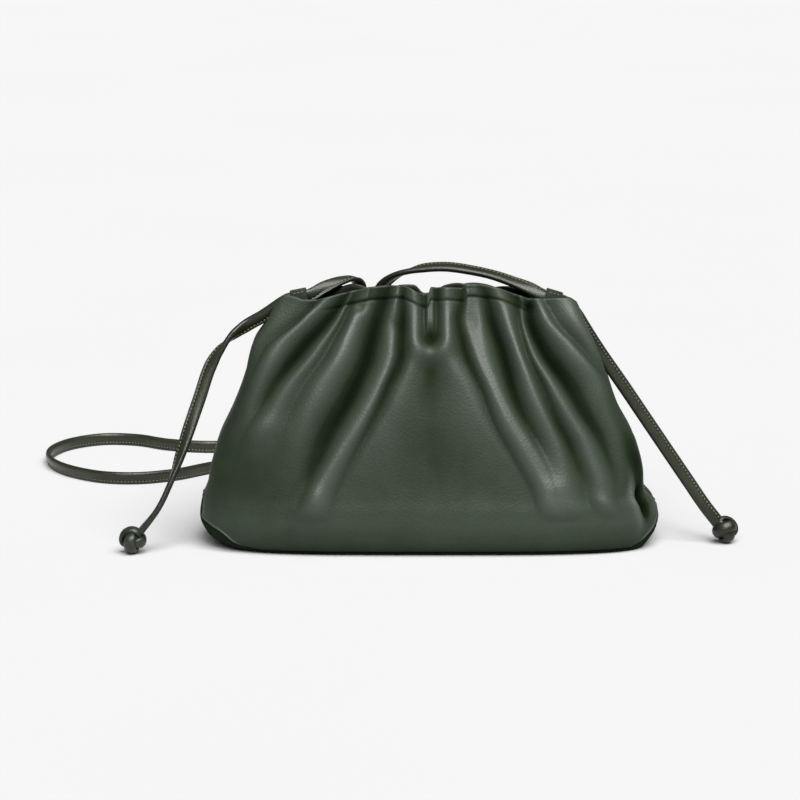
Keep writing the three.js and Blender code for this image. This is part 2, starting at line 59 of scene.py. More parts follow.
def placeCamera():
    camera = bpy.data.cameras.new("camera")
    camera.sensor_width = viewpoint["sensorWidth"]
    camera.lens = viewpoint["focalPixels"] * viewpoint["sensorWidth"] / viewpoint["framePixels"]
    camera.clip_end = 60
    holder = bpy.data.objects.new("camera", camera)
    tilt = viewpoint["elevation"]
    away = Vector((0, -math.cos(tilt), math.sin(tilt)))
    holder.location = viewpoint["target"] + away * viewpoint["distance"]
    holder.rotation_euler = (math.pi / 2 - tilt, 0, 0)
    scene.collection.objects.link(holder)
    scene.camera = holder


placeCamera()


# Node and colour helpers
def linearColour(hexColour):
    parts = [int(hexColour[i:i + 2], 16) / 255 for i in (1, 3, 5)]
    linear = [p / 12.92 if p <= 0.04045 else ((p + 0.055) / 1.055) ** 2.4 for p in parts]
    return (*linear, 1.0)


def setStops(elements, stops):
    while len(elements) < len(stops):
        elements.new(0.5)
    for element, (place, hexColour) in zip(elements, stops):
        element.position = place
        element.color = linearColour(hexColour)


def addNode(tree, kind, settings=None, links=None):
    node = tree.nodes.new(kind)
    for key, value in (settings or {}).items():
        if key == "stops":
            setStops(node.color_ramp.elements, value)
        elif isinstance(key, int) or key in node.inputs:
            node.inputs[key].default_value = value
        else:
            setattr(node, key, value)
    for socket, source in (links or {}).items():
        tree.links.new(source, node.inputs[socket])
    return node


def startMaterial(name):
    material = bpy.data.materials.new(name)
    material.use_nodes = True
    tree = material.node_tree
    tree.nodes.clear()
    return material, tree, addNode(tree, "ShaderNodeTexCoord").outputs["Object"]


# Leather: pigmented lambskin with a satin film finish. The eye gets a soft wide sheen on the folds,
# cloudy tone, and a fine pebbled grain that shows only where the light rakes over it. A tint attribute
# runs from -1 in a hollow to 1 on a crest, and glossFrom is where on it the sheen starts. Towards -1
# it mixes in a dark colour, which is painted shade. Towards 1 it mixes in another colour: on the bag's
# panels a lighter one, for rubbed wear and painted highlight, and on the strap a dark one, for edge
# paint along its edges and painted shade on a knot's inner side and core.
leatherGrain = {"mottleShare": 0.35, "poreShare": 0.6, "pebbleSoftness": 0.6, "glossFrom": -0.3}


def leatherMaterial(name, look):
    material, tree, places = startMaterial(name)
    clouds = addNode(tree, "ShaderNodeTexNoise", {
        "Scale": 1 / look["cloudSize"], "Detail": 3.0, "Roughness": 0.55}, {"Vector": places})
    mottle = addNode(tree, "ShaderNodeTexNoise", {
        "Scale": 1 / look["mottleSize"], "Detail": 2.0, "Roughness": 0.6}, {"Vector": places})
    tone = addNode(tree, "ShaderNodeMath", {"operation": "MULTIPLY_ADD", 1: leatherGrain["mottleShare"]}, {
        0: mottle.outputs["Fac"], 2: clouds.outputs["Fac"]})
    ramp = addNode(tree, "ShaderNodeValToRGB", {"stops": look["tones"]}, {"Fac": tone.outputs["Value"]})
    base = ramp.outputs["Color"]
    wear = addNode(tree, "ShaderNodeAttribute", {"attribute_name": "wear"}).outputs["Fac"]
    # Painted light: the hollow end mixes in painted shade. The crest end mixes in rubbed wear and painted
    # highlight on the panels, and edge paint and painted shade on the strap.
    for part, end in (("wear", 1.0), ("recessShade", -1.0)):
        amount = addNode(tree, "ShaderNodeMapRange", {
            "From Min": 0.0, "From Max": end, "To Min": 0.0, "To Max": look[part]}, {"Value": wear})
        colour = linearColour(look[part + "Colour"])
        mix = addNode(tree, "ShaderNodeMix", {"data_type": "RGBA", 7: colour}, {
            0: amount.outputs["Result"], 6: base})
        base = mix.outputs[2]
    dull, shiny = look["specular"]
    gloss = addNode(tree, "ShaderNodeMapRange", {
        "From Min": leatherGrain["glossFrom"], "From Max": 1.0, "To Min": dull, "To Max": shiny},
        {"Value": wear})
    pores = addNode(tree, "ShaderNodeTexNoise", {
        "Scale": 1 / look["poreSize"], "Detail": 2.0, "Roughness": 0.7}, {"Vector": places})
    smooth, rough = look["roughness"]
    roughness = addNode(tree, "ShaderNodeMapRange", {
        "From Min": 0.3, "From Max": 0.7, "To Min": smooth, "To Max": rough}, {
        "Value": pores.outputs["Fac"]})
    pebbles = addNode(tree, "ShaderNodeTexVoronoi", {
        "feature": "SMOOTH_F1", "Scale": 1 / look["grainSize"],
        "Smoothness": leatherGrain["pebbleSoftness"]}, {"Vector": places})
    grain = addNode(tree, "ShaderNodeMath", {"operation": "MULTIPLY_ADD", 1: leatherGrain["poreShare"]}, {
        0: pores.outputs["Fac"], 2: pebbles.outputs["Distance"]})
    bump = addNode(tree, "ShaderNodeBump", {
        "Strength": look["grainStrength"], "Distance": look["grainDepth"]}, {
        "Height": grain.outputs["Value"]})
    shader = addNode(tree, "ShaderNodeBsdfPrincipled", {
        "IOR": 1.5, "Sheen Weight": look["sheen"], "Sheen Roughness": 0.4}, {
        "Base Color": base, "Roughness": roughness.outputs["Result"],
        "Specular IOR Level": gloss.outputs["Result"], "Normal": bump.outputs["Normal"]})
    addNode(tree, "ShaderNodeOutputMaterial", links={"Surface": shader.outputs["BSDF"]})
    return material


# Spun polyester sewing thread: matt, a little lighter and yellower than the leather, finely twisted
threadLook = {
    "tones": [(0.3, "#4c4e3b"), (0.7, "#75765e")],
    "fibreSize": 0.3 * mm, "fibreDepth": 0.05 * mm, "fibreStrength": 0.4,
}


def threadMaterial():
    material, tree, places = startMaterial("polyester_thread")
    fibres = addNode(tree, "ShaderNodeTexNoise", {
        "Scale": 1 / threadLook["fibreSize"], "Detail": 2.0}, {"Vector": places}).outputs["Fac"]
    base = addNode(tree, "ShaderNodeValToRGB", {"stops": threadLook["tones"]}, {"Fac": fibres})
    bump = addNode(tree, "ShaderNodeBump", {
        "Strength": threadLook["fibreStrength"], "Distance": threadLook["fibreDepth"]}, {"Height": fibres})
    shader = addNode(tree, "ShaderNodeBsdfPrincipled", {"Roughness": 0.7, "IOR": 1.45}, {
        "Base Color": base.outputs["Color"], "Normal": bump.outputs["Normal"]})
    addNode(tree, "ShaderNodeOutputMaterial", links={"Surface": shader.outputs["BSDF"]})
    return material


# Matt photographic paper sweep: pale and even, with a trace of mottle
paperLook = {"tones": [(0.0, "#b8b8b8"), (1.0, "#bababa")], "mottleSize": 1 / 3}


def paperMaterial():
    material, tree, places = startMaterial("paper_sweep")
    mottle = addNode(tree, "ShaderNodeTexNoise", {
        "Scale": 1 / paperLook["mottleSize"], "Detail": 2.0}, {"Vector": places})
    base = addNode(tree, "ShaderNodeValToRGB", {"stops": paperLook["tones"]}, {
        "Fac": mottle.outputs["Fac"]})
    shader = addNode(tree, "ShaderNodeBsdfPrincipled", {"Roughness": 1.0, "Specular IOR Level": 0.0}, {
        "Base Color": base.outputs["Color"]})
    addNode(tree, "ShaderNodeOutputMaterial", links={"Surface": shader.outputs["BSDF"]})
    return material


nappaLeather = leatherMaterial("nappa_leather", {
    "tones": [(0.35, "#1a2216"), (0.6, "#1e271a"), (0.85, "#232d1f")],
    # Crests are lightened by this colour, as rubbed wear and painted highlight. Hollows are darkened by the
    # next one, as painted shade.
    "wear": 0.7, "wearColour": "#2e3a2e",
    "recessShade": 0.85, "recessShadeColour": "#080c06",
    "cloudSize": 45 * mm, "mottleSize": 6 * mm,
    "grainSize": 1.1 * mm,  # coarser than the real 0.4 mm, so that it shows
    "poreSize": 0.5 * mm,
    "grainDepth": 0.15 * mm, "grainStrength": 0.7,
    "roughness": (0.5, 0.62), "specular": (0.0, 0.86), "sheen": 0.015,
})
strapLeather = leatherMaterial("strap_leather", {
    "tones": [(0.35, "#12170c"), (0.6, "#191e11"), (0.85, "#23291a")],
    # Dark edge paint on the strap's edges. The same dark colour is painted shade on a knot's inner side and
    # core. The recess colour is painted shade in the stitch groove.
    "wear": 0.7, "wearColour": "#0e0f0a",
    "recessShade": 0.9, "recessShadeColour": "#060703",
    "cloudSize": 30 * mm, "mottleSize": 4 * mm,
    "grainSize": 0.9 * mm,  # coarser than the real 0.4 mm, so that it shows
    "poreSize": 0.45 * mm,
    "grainDepth": 0.14 * mm, "grainStrength": 0.6,
    "roughness": (0.28, 0.40), "specular": (0.42, 0.42), "sheen": 0.01,
})
suedeReverse = leatherMaterial("suede_reverse", {  # the leather's napped flesh side, inside the bag
    "tones": [(0.35, "#191c16"), (0.6, "#20241c"), (0.85, "#282c23")],
    "wear": 0.0, "wearColour": "#282c23",
    "recessShade": 0.0, "recessShadeColour": "#282c23",
    "cloudSize": 30 * mm, "mottleSize": 3 * mm,
    "grainSize": 0.8 * mm,
    "poreSize": 0.4 * mm,
    "grainDepth": 0.15 * mm, "grainStrength": 0.6,
    "roughness": (0.85, 0.95), "specular": (0.1, 0.1), "sheen": 0.12,
})
sewingThread = threadMaterial()
print("materials made")


# Floor and lights, with each light's softness in degrees
studio = {
    "floorSize": 24,
    "worldColour": "#ffffff", "worldStrength": 0.16,
    "softboxes": [
        {"name": "overhead_softbox", "from": (0.26, -0.50, 1.0), "strength": 4.55, "softness": 50},
        {"name": "front_softbox", "from": (-0.05, -1.0, 0.90), "strength": 2.3, "softness": 40},
    ],
}


def buildStudio():
    bpy.ops.mesh.primitive_plane_add(size=studio["floorSize"], location=(0, 0, 0))
    floor = bpy.context.object
    floor.name = "paper_floor"
    floor.data.materials.append(paperMaterial())
    world = bpy.data.worlds.new("studio_air")
    world.use_nodes = True
    air = world.node_tree.nodes["Background"]
    air.inputs["Color"].default_value = linearColour(studio["worldColour"])
    air.inputs["Strength"].default_value = studio["worldStrength"]
    scene.world = world
    for softbox in studio["softboxes"]:
        lamp = bpy.data.lights.new(softbox["name"], "SUN")
        lamp.energy = softbox["strength"]
        lamp.angle = math.radians(softbox["softness"])
        holder = bpy.data.objects.new(softbox["name"], lamp)
        holder.rotation_euler = Vector(softbox["from"]).to_track_quat("Z", "Y").to_euler()
        scene.collection.objects.link(holder)


buildStudio()
print("studio built")


# Mesh helpers
def meshObject(name, points, faces, materials, faceSlots=None, wear=None):
    mesh = bpy.data.meshes.new(name)
    mesh.from_pydata([tuple(p) for p in points], [], [tuple(f) for f in faces])
    mesh.validate()
    for material in materials:
        mesh.materials.append(material)
    if faceSlots is not None:
        mesh.polygons.foreach_set("material_index", np.asarray(faceSlots, dtype=np.int32))
    if wear is not None:
        layer = mesh.attributes.new("wear", "FLOAT", "POINT")
        layer.data.foreach_set("value", np.asarray(wear, dtype=np.float32))
    mesh.polygons.foreach_set("use_smooth", [True] * len(mesh.polygons))
    mesh.update()
    piece = bpy.data.objects.new(name, mesh)
    scene.collection.objects.link(piece)
    return piece


def finishPiece(piece, slot, *nodes):
    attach(piece, "root")
    if nodes:
        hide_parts(*nodes)
    return piece


def ringQuads(rings, sides, first=0, looped=False):  # four-cornered faces between rings of points
    quads = []
    for ring in range(rings if looped else rings - 1):
        a = first + ring * sides
        b = first + (ring + 1) % rings * sides
        for i in range(sides):
            k = (i + 1) % sides
            quads.append((a + i, a + k, b + k, b + i))
    return quads


def unit(vector):
    return vector / np.linalg.norm(vector)


def lengthsAlong(points):
    return np.concatenate([[0], np.cumsum(np.linalg.norm(np.diff(points, axis=0), axis=1))])


def rounded(value, power):  # a power that keeps the sign
    return np.sign(value) * np.abs(value) ** power


def bell(value):
    return np.exp(-(value ** 2))


def smoothStep(value, low, high):
    t = np.clip((value - low) / (high - low), 0, 1)
    return t * t * (3 - 2 * t)


# The strap: a flat folded tube of leather, sewn shut near one edge
strap = {
    "width": 6.5 * mm,
    "thickness": 2.9 * mm,
    "sewnThickness": 1.7 * mm,
    "seamInset": 1.35 * mm,
    "seamDent": 0.22 * mm,
    "grooveReach": 0.37 * mm,
    "edgeReach": 0.2 * mm,
    "bareEnd": 2 * mm,
    "ringStep": 1.3 * mm,
    "stitchPitch": 1.9 * mm,
    "stitchLength": 1.15 * mm,
    "threadWidth": 0.55 * mm,
    "threadRise": 0.08 * mm,
}
keeper = {
    "length": 8 * mm,
    "wall": 0.8 * mm,
    "clearance": 0.15 * mm,
    "straightBeyond": 1.2 * mm,
    "softening": 0.45 * mm,
    "stitches": 3,
    "stitchPlace": 0.36,
}
# The strap's straight run through each keeper: its middle in millimetres, the way out of the bag, and
# the way that the strap's face looks
keeperRuns = {
    "left": {"middle": (-63.961, 0, 121.852), "outward": (-1, 0, -0.2), "face": (0, -1, 0.12)},
    "right": {"middle": (59.785, 0, 121.384), "outward": (1, 0, -0.3), "face": (0, -1, 0.12)},
}
meetingGap = 0.3 * mm

# The strap's free routes, listed in millimetres: a place, then the way that its face looks
leftTailRoute = [
    (-72.4, 0.3, 119, 0, 1, -0.05),
    (-77.4, 1, 115.4, 0, 1, 0),
    (-82.4, 1.8, 112, 0, 1, 0.1),
    (-89.2, 2.6, 108, -0.1, 1, 0.2),
    (-96.6, 0, 103, -0.6, 0.6, 0.6),
    (-103.2, -2, 96, -0.9, -0.6, 0.6),
    (-107.8, -4, 88, -0.3, -1, 0.1),
    (-112.9, -8, 73.3, -0.1, -1, 0),
    (-118.1, -13, 58.4, -0.4, -1, 0),
    (-121.9, -17, 47.3, -1, -1, 0),
    (-127.4, -22, 32.4, -1.8, -0.3, 0),
    (-132.6, -25, 22, -1.8, -0.2, 0.3),
    (-142, -27.7, 10, -1.6, -0.5, 0.6),
]
rightTailRoute = [
    (68.4, 0.4, 117.2, 0, -1, 0),
    (71.6, 1, 113.2, 0, -1, 0),
    (74.4, 1.8, 108.6, 0, -1, 0),
    (78.6, 2.6, 101.8, 0, -1, 0),
    (83.4, 2.8, 94.4, 0, -1, 0),
    (94.2, 1.6, 79, 0, -1, 0),
    (105.1, 0, 63.1, 0, -1, 0),
    (116.2, -2, 46.9, 0, -1, 0),
    (127.5, -4, 30.5, 0, -1, 0),
    (135.6, -6, 18.8, 0, -1, 0),
    (143.2, -6.9, 9.2, 0, -1, 0.2),
]
# The loop on the floor at the left, as places along and back and the same two of the face's way
floorLoop = [
    (-98, 160, -0.2, 1), (-117.5, 146, -0.5, 1), (-136, 129, -0.4, 1),
    (-154, 121, 0, 1), (-172, 122.5, 0.2, 1), (-188, 133, 0.5, 1),
    (-201, 149, 1, 0.8), (-208, 168, 1, 0.2), (-208, 188, 1, -0.2),
    (-199, 208, 1, -1), (-182, 219.5, 0.3, -1), (-163, 217, -0.3, -1),
    (-145, 205, -0.5, -1), (-122, 199, -0.1, -1), (-90, 205, 0.1, -1),
    (-55, 203, -0.2, -1),
]


def layOnFloor(rows):
    return [(x, y, 3.6, a, b, 0.1) for x, y, a, b in rows]


shoulderRoute = [
    (-52, 3.4, 126.2, 0, -0.9, 0.6),
    (-43.5, 8, 128.9, 0, -0.3, 1),
    (-37.5, 11.5, 129.2, 0.2, 0.3, 1),
    (-34.7, 14.8, 125.6, 0.3, 1, 0.6),
    (-34.6, 17.6, 118.4, 0, 1, 0.3),
    (-34.6, 24.6, 105, 0, 1, 0.4),
    (-34, 33.2, 84, 0, 1, 0.3),
    (-33, 38.4, 62, 0, 1, 0.1),
    (-33.6, 41.5, 40, 0, 1, 0.1),
    (-34.4, 46, 18, 0, 1, 0.3),
    (-36, 58, 6.5, 0, 0.6, 1),
    (-38.5, 78, 3.6, 0.3, 0.3, 1),
    (-44, 112, 3.6, 0.8, 0.2, 0.7),
    (-55, 143, 3.6, 0.9, 0.5, 0.4),
    (-76, 163, 3.6, 0.5, 1, 0.2),
    *layOnFloor(floorLoop),
    # From here the strap turns over behind the bag, so that its sewn edge comes to the back
    (-26, 182, 3.6, -1, -0.8, 0),
    (-14, 148, 3.6, -0.9, -0.1, -0.5),
    (-12, 112, 3.6, 0, 0, -1),
    (-13, 78, 3.8, 0.2, -0.2, -1),
    (-15, 58, 6.8, 0, -0.6, -1),
    (-17, 46.5, 18, 0, -1, -0.4),
    (-18.5, 41.5, 40, 0, -1, -0.1),
    (-20, 38.4, 62, 0, -1, -0.1),
    (-24.5, 33.2, 84, 0, -1, -0.3),
    (-26.6, 25.2, 104, 0, -1, -0.4),
    (-26.2, 19.4, 116, 0.1, -1, -0.3),
    (-23.6, 16.2, 124.6, 0.3, -1, -0.5),
    (-17.6, 14.6, 129.8, 0.4, -0.6, -0.9),
    (-11, 13.6, 132.6, 0.3, -0.1, -1),
    (-3, 12.7, 134.5, 0.1, 0.4, -1),
    (8, 11.6, 135.2, 0, 0.5, -1),
    (20, 10.2, 133.8, 0, 0.5, -1),
    (31, 8.4, 131.6, 0, 0.5, -1),
    (41, 5.2, 128.6, 0, 0.6, -0.9),
    (49, 2.2, 125.7, 0, 0.9, -0.5),
]


def curvePlace(points, place):  # a centripetal curve through points, read at a row number and a part
    i = min(int(place), len(points) - 2)
    t = place - i
    p1, p2 = points[i], points[i + 1]
    p0 = points[i - 1] if i > 0 else 2 * p1 - p2
    p3 = points[i + 2] if i + 2 < len(points) else 2 * p2 - p1
    spans = [math.sqrt(np.linalg.norm(b - a)) for a, b in ((p0, p1), (p1, p2), (p2, p3))]
    middle = spans[1] if spans[1] > 1e-4 else 1.0
    before = spans[0] if spans[0] > 1e-4 else middle
    after = spans[2] if spans[2] > 1e-4 else middle
    m1 = middle * ((p1 - p0) / before - (p2 - p0) / (before + middle) + (p2 - p1) / middle)
    m2 = middle * ((p2 - p1) / middle - (p3 - p1) / (middle + after) + (p3 - p2) / after)
    c2 = -3 * p1 + 3 * p2 - 2 * m1 - m2
    c3 = 2 * p1 - 2 * p2 + m1 + m2
    return p1 + m1 * t + c2 * t * t + c3 * t ** 3


def routeFrames(route, step):  # centres, tangents, faces and sideways directions at even steps
    rows = np.array(route, dtype=float)
    places = np.linspace(0, len(rows) - 1, (len(rows) - 1) * 24 + 1)
    fine = np.array([curvePlace(rows[:, :3], p) for p in places])
    looks = np.array([curvePlace(rows[:, 3:], p) for p in places])
    lengths = lengthsAlong(fine)
    count = max(2, round(lengths[-1] / step))
    wanted = np.linspace(0, lengths[-1], count + 1)
    centres = np.stack([np.interp(wanted, lengths, fine[:, k]) for k in range(3)], axis=1)
    faces = np.stack([np.interp(wanted, lengths, looks[:, k]) for k in range(3)], axis=1)
    tangents = np.gradient(centres, axis=0)
    tangents /= np.linalg.norm(tangents, axis=1, keepdims=True)
    faces -= tangents * np.sum(faces * tangents, axis=1, keepdims=True)
    faces /= np.linalg.norm(faces, axis=1, keepdims=True)
    return centres, tangents, faces, np.cross(tangents, faces), lengths[-1]


def strapSection():  # half the strap's outline, as places across its width and half thicknesses
    half = strap["width"] / 2
    full = strap["thickness"] / 2
    sewn = strap["sewnThickness"] / 2
    seam = half - strap["seamInset"]
    return [
        (-half, 0.0), (-half + 0.15 * mm, 0.48 * full), (-half + 0.6 * mm, 0.82 * full),
        (-half + 1.5 * mm, full), (-0.6 * mm, 0.96 * full), (seam - 0.9 * mm, 0.78 * full),
        (seam - 0.35 * mm, sewn), (seam, sewn - strap["seamDent"]), (seam + 0.4 * mm, sewn),
        (half - 0.3 * mm, sewn), (half - 0.05 * mm, 0.7 * sewn), (half, 0.0),
    ]


def strapMesh(name, route):
    centres, _, faces, sides, length = routeFrames(route, strap["ringStep"])
    section = strapSection()
    seam = strap["width"] / 2 - strap["seamInset"]
    outline = section + [(w, -t) for w, t in section[-2:0:-1]]
    count = len(outline)
    points = []
    wear = []
    for centre, face, side in zip(centres, faces, sides):
        for w, t in outline:
            points.append(centre + side * w + face * t)
            # The edges take the dark edge paint. The groove along the seam is painted darker, as shade.
            onEdge = abs(w) > strap["width"] / 2 - strap["edgeReach"]
            inGroove = abs(w - seam) < strap["grooveReach"]
            wear.append(1.0 if onEdge else -1.0 if inGroove else 0.0)
    rings = len(centres)
    # The outline runs the other way round, so each face is turned over
    quads = [(a, d, c, b) for a, b, c, d in ringQuads(rings, count)]
    quads.append(tuple(range(count)))
    quads.append(tuple(reversed(range((rings - 1) * count, rings * count))))
    piece = meshObject(name, points, quads, [strapLeather], wear=wear)
    return piece, centres, length


def stitchShape(start, end, up, width):  # one sewn stitch: a short thread that dips in at both ends
    along = end - start
    side = unit(np.cross(along, up)) * width / 2
    lift = unit(up) * width / 2
    sides = 6
    # Each station: its place along the stitch, its size and its height, both as shares of the thread's
    stations = [(0.0, 0.45, -0.6), (0.2, 0.95, 0.25), (0.8, 0.95, 0.25), (1.0, 0.45, -0.6)]
    points = []
    for place, size, height in stations:
        middle = start + along * place + lift * height
        for i in range(sides):
            turn = 2 * math.pi * i / sides
            points.append(middle + side * size * math.cos(turn) + lift * size * math.sin(turn))
    quads = ringQuads(len(stations), sides)
    quads.append(tuple(reversed(range(sides))))
    quads.append(tuple(range((len(stations) - 1) * sides, len(stations) * sides)))
    return points, quads


def stitchRow(name, stitches, width):  # stitches are (start, end, up)
    points = []
    quads = []
    for start, end, up in stitches:
        shape, sides = stitchShape(np.array(start), np.array(end), np.array(up), width)
        quads += [tuple(len(points) + i for i in side) for side in sides]
        points += shape
    return meshObject(name, points, quads, [sewingThread])


def strapStitches(name, route):
    centres, tangents, faces, sides, _ = routeFrames(route, strap["stitchPitch"])
    seam = strap["width"] / 2 - strap["seamInset"]
    surface = strap["sewnThickness"] / 2 - strap["seamDent"] + strap["threadRise"]
    reach = strap["stitchLength"] / 2
    skip = round(strap["bareEnd"] / strap["stitchPitch"])
    stitches = []
    for i in range(skip, len(centres) - skip):
        for face in (faces[i], -faces[i]):
            middle = centres[i] + sides[i] * seam + face * surface
            stitches.append((middle - tangents[i] * reach, middle + tangents[i] * reach, face))
    return stitchRow(name, stitches, strap["threadWidth"])


def keeperPlace(side, outwards):
    run = keeperRuns[side]
    place = np.array(run["middle"]) * mm + unit(np.array(run["outward"], dtype=float)) * outwards
    return (*place, *run["face"])


def keeperRun(side, way):
    straight = keeper["length"] / 2 + keeper["straightBeyond"]
    return [keeperPlace(side, way * meetingGap / 2), keeperPlace(side, way * straight)]


def inMetres(rows):
    return [(x * mm, y * mm, z * mm, *face) for x, y, z, *face in rows]


def turnedOver(rows):
    return [(x, y, z, -a, -b, -c) for x, y, z, a, b, c in rows]


strapRoutes = {
    "shoulder_strap": (keeperRun("left", -1) + inMetres(shoulderRoute)
                       + turnedOver(keeperRun("right", -1)[::-1])),
    "tail_left": turnedOver(keeperRun("left", 1)) + inMetres(leftTailRoute),
    "tail_right": turnedOver(keeperRun("right", 1) + inMetres(rightTailRoute)),
}
for strapName, route in strapRoutes.items():
    body, path, length = strapMesh(strapName + "_leather", route)
    thread = strapStitches(strapName + "_stitches", route)
    finishPiece(body, "strap_leather", strapName)
    finishPiece(thread, "strap_leather")
    print(strapName, "length", round(length, 4))


# The knots: the strap's end pulled into a tight overhand knot. One looped strand crosses itself round
# a ball, rising over and dipping under by overUnder, and bends more as bend gets smaller.
knot = {
    "places": {"knot_left": (-145.0, -28.0), "knot_right": (145.8, -7.0)},
    "turns": {"knot_left": (62, 24, 20), "knot_right": (100, -14, 60)},  # degrees about X, Y and Z
    "ballRadius": 4.7 * mm,
    "overUnder": 1.1 * mm,
    "lift": 1.15,
    "strandWidth": 5.8 * mm,
    "strandThickness": 2.2 * mm,
    "roundness": (0.8, 0.55),  # powers for the strand's outline, across it and through it
    "bend": 2.6,
    # A strand is painted darker, as shade, round its inner side towards the ball
    "shadeBelow": 0.45,  # how far round its upper side a strand starts to darken
    "coreRadius": 4.5 * mm,
    "floorGap": 0.1 * mm,
    "rings": 144,
    "sides": 16,
}


def knotPoint(turn):
    way = np.array([
        math.sin(turn) + 2 * math.sin(2 * turn),
        math.cos(turn) - 2 * math.cos(2 * turn),
        -knot["lift"] * 2 * math.sin(3 * turn),
    ])
    return unit(way) * (knot["ballRadius"] + knot["overUnder"] * math.cos(3 * turn))


def ballMesh(radius, sides):  # the filling inside a knot, so that no light comes through between the turns
    points = [np.array([0, 0, -radius]), np.array([0, 0, radius])]
    rings = sides // 2 - 1
    for ring in range(1, rings + 1):
        tilt = math.pi * ring / (rings + 1)
        flat = math.sin(tilt)
        for i in range(sides):
            turn = 2 * math.pi * i / sides
            way = np.array([flat * math.cos(turn), flat * math.sin(turn), -math.cos(tilt)])
            points.append(way * radius)
    faces = ringQuads(rings, sides, 2)
    last = 2 + (rings - 1) * sides
    for i in range(sides):
        k = (i + 1) % sides
        faces += [(0, 2 + k, 2 + i), (1, last + i, last + k)]
    return points, faces


def knotMesh(name):
    turned = np.array(Euler([math.radians(a) for a in knot["turns"][name]]).to_matrix())
    points = []
    wear = []
    for ring in range(knot["rings"]):
        turn = 2 * math.pi * ring / knot["rings"]
        centre = knotPoint(turn)
        ahead = unit(knotPoint(turn + 0.01) - centre)
        out = unit(centre - ahead * np.dot(centre, ahead))
        side = np.cross(ahead, out)
        for i in range(knot["sides"]):
            angle = 2 * math.pi * i / knot["sides"]
            wide = rounded(math.cos(angle), knot["roundness"][0]) * knot["strandWidth"] / 2
            thick = rounded(math.sin(angle), knot["roundness"][1]) * knot["strandThickness"] / 2
            bend = wide ** 2 / (knot["bend"] * knot["ballRadius"])
            points.append(turned @ (centre + side * wide + out * (thick - bend)))
            # painted shade round the strand's inner side
            wear.append(1.0 if math.sin(angle) < knot["shadeBelow"] else 0.0)
    wrapCount = len(points)
    core, coreFaces = ballMesh(knot["coreRadius"], knot["sides"])
    points = np.array(points + core)
    # the core is painted dark all over, as shade between the turns
    wear += [1.0] * len(core)
    middle = (points.max(axis=0) + points.min(axis=0)) / 2
    x, y = knot["places"][name]
    points += np.array([x * mm - middle[0], y * mm - middle[1], knot["floorGap"] - points[:, 2].min()])
    print(name, "size", (points.max(axis=0) - points.min(axis=0)).round(4))
    quads = ringQuads(knot["rings"], knot["sides"], looped=True)
    quads += [tuple(wrapCount + i for i in face) for face in coreFaces]
    return meshObject(name + "_wraps", points, quads, [strapLeather], wear=wear)


for knotName in knot["places"]:
    finishPiece(knotMesh(knotName), "strap_leather", knotName)
print("knots tied")


# The bag's body. Cross sections from the floor to the rim: height is a share of the bag's height,
# left and right are shares of half its length, front, back and tuck shares of half its depth.
bag = {
    "length": 227 * mm,
    "depth": 75 * mm,
    "height": 128 * mm,
    "wall": 1.4 * mm,
    "hemWall": 2.0 * mm,
    "hemHeight": 5.2 * mm,
    "seamGap": 0.3 * mm,
    "baseSeamGap": 0.4 * mm,
    "baseSeamHeight": 1.2 * mm,
    "baseEndHeight": 24 * mm,
    "seamDip": 2.8 * mm,
    "dipBreadth": 0.3,
    "tuckBreadth": 0.4,
}
sectionColumns = ("height", "left", "right", "front", "back", "tuck", "square")
sections = [
    (0.000, 0.850, 0.915, 0.800, 0.827, 0.00, 3.9),
    (0.008, 0.885, 0.935, 0.865, 0.885, 0.00, 3.9),
    (0.031, 0.940, 0.958, 0.940, 0.945, 0.00, 3.6),
    (0.062, 0.978, 0.982, 0.982, 0.980, 0.00, 3.4),
    (0.110, 1.000, 0.994, 1.000, 1.000, 0.00, 3.2),
    (0.170, 1.000, 0.980, 0.990, 0.995, 0.02, 3.1),
    (0.220, 0.998, 0.954, 0.955, 0.970, 0.10, 3.1),
    (0.280, 0.994, 0.958, 0.915, 0.935, 0.17, 3.1),
    (0.410, 0.952, 0.922, 0.855, 0.880, 0.13, 2.9),
    (0.530, 0.898, 0.858, 0.780, 0.810, 0.17, 2.8),
    (0.660, 0.856, 0.815, 0.665, 0.700, 0.24, 2.7),
    (0.780, 0.832, 0.762, 0.520, 0.550, 0.33, 2.6),
    (0.875, 0.778, 0.726, 0.385, 0.410, 0.45, 2.5),
    (0.940, 0.744, 0.700, 0.290, 0.305, 0.46, 2.5),
    (1.000, 0.706, 0.650, 0.240, 0.240, 0.44, 2.5),
]
widestSquare = 3.2
# Lines round the bag. Places across it are shares of half the length. The two rims then give shares of
# the bag's height, and the base seam gives shares of its climb from the middle up to the ends.
frontRim = [
    (-1.00, 0.928), (-0.96, 0.950), (-0.90, 0.964), (-0.84, 0.958), (-0.79, 0.948), (-0.72, 0.950),
    (-0.60, 0.974), (-0.50, 0.990), (-0.44, 0.998), (-0.36, 1.002), (-0.26, 1.006), (-0.21, 0.996),
    (-0.12, 0.974), (-0.045, 0.970), (-0.03, 0.974), (-0.012, 0.992), (0.02, 0.996), (0.30, 0.994),
    (0.32, 1.012), (0.45, 1.005), (0.52, 0.994), (0.58, 0.980), (0.70, 0.953), (0.90, 0.950),
    (0.94, 0.938), (1.00, 0.918),
]
backRim = [
    (-1.00, 0.935), (-0.82, 0.935), (-0.74, 0.965), (-0.66, 0.982), (-0.56, 0.984), (-0.48, 0.972),
    (-0.40, 0.955), (-0.25, 0.978), (-0.16, 0.980), (-0.08, 0.955),
    (0.05, 0.955), (0.16, 0.975), (0.30, 0.990), (0.55, 0.975), (1.00, 0.928),
]
baseSeam = [
    (-1.00, 1.00), (-0.985, 0.62), (-0.95, 0.52), (-0.90, 0.38), (-0.84, 0.08), (-0.78, 0.00),
    (0.90, 0.00), (0.93, 0.20), (0.965, 0.40), (1.00, 0.80),
]


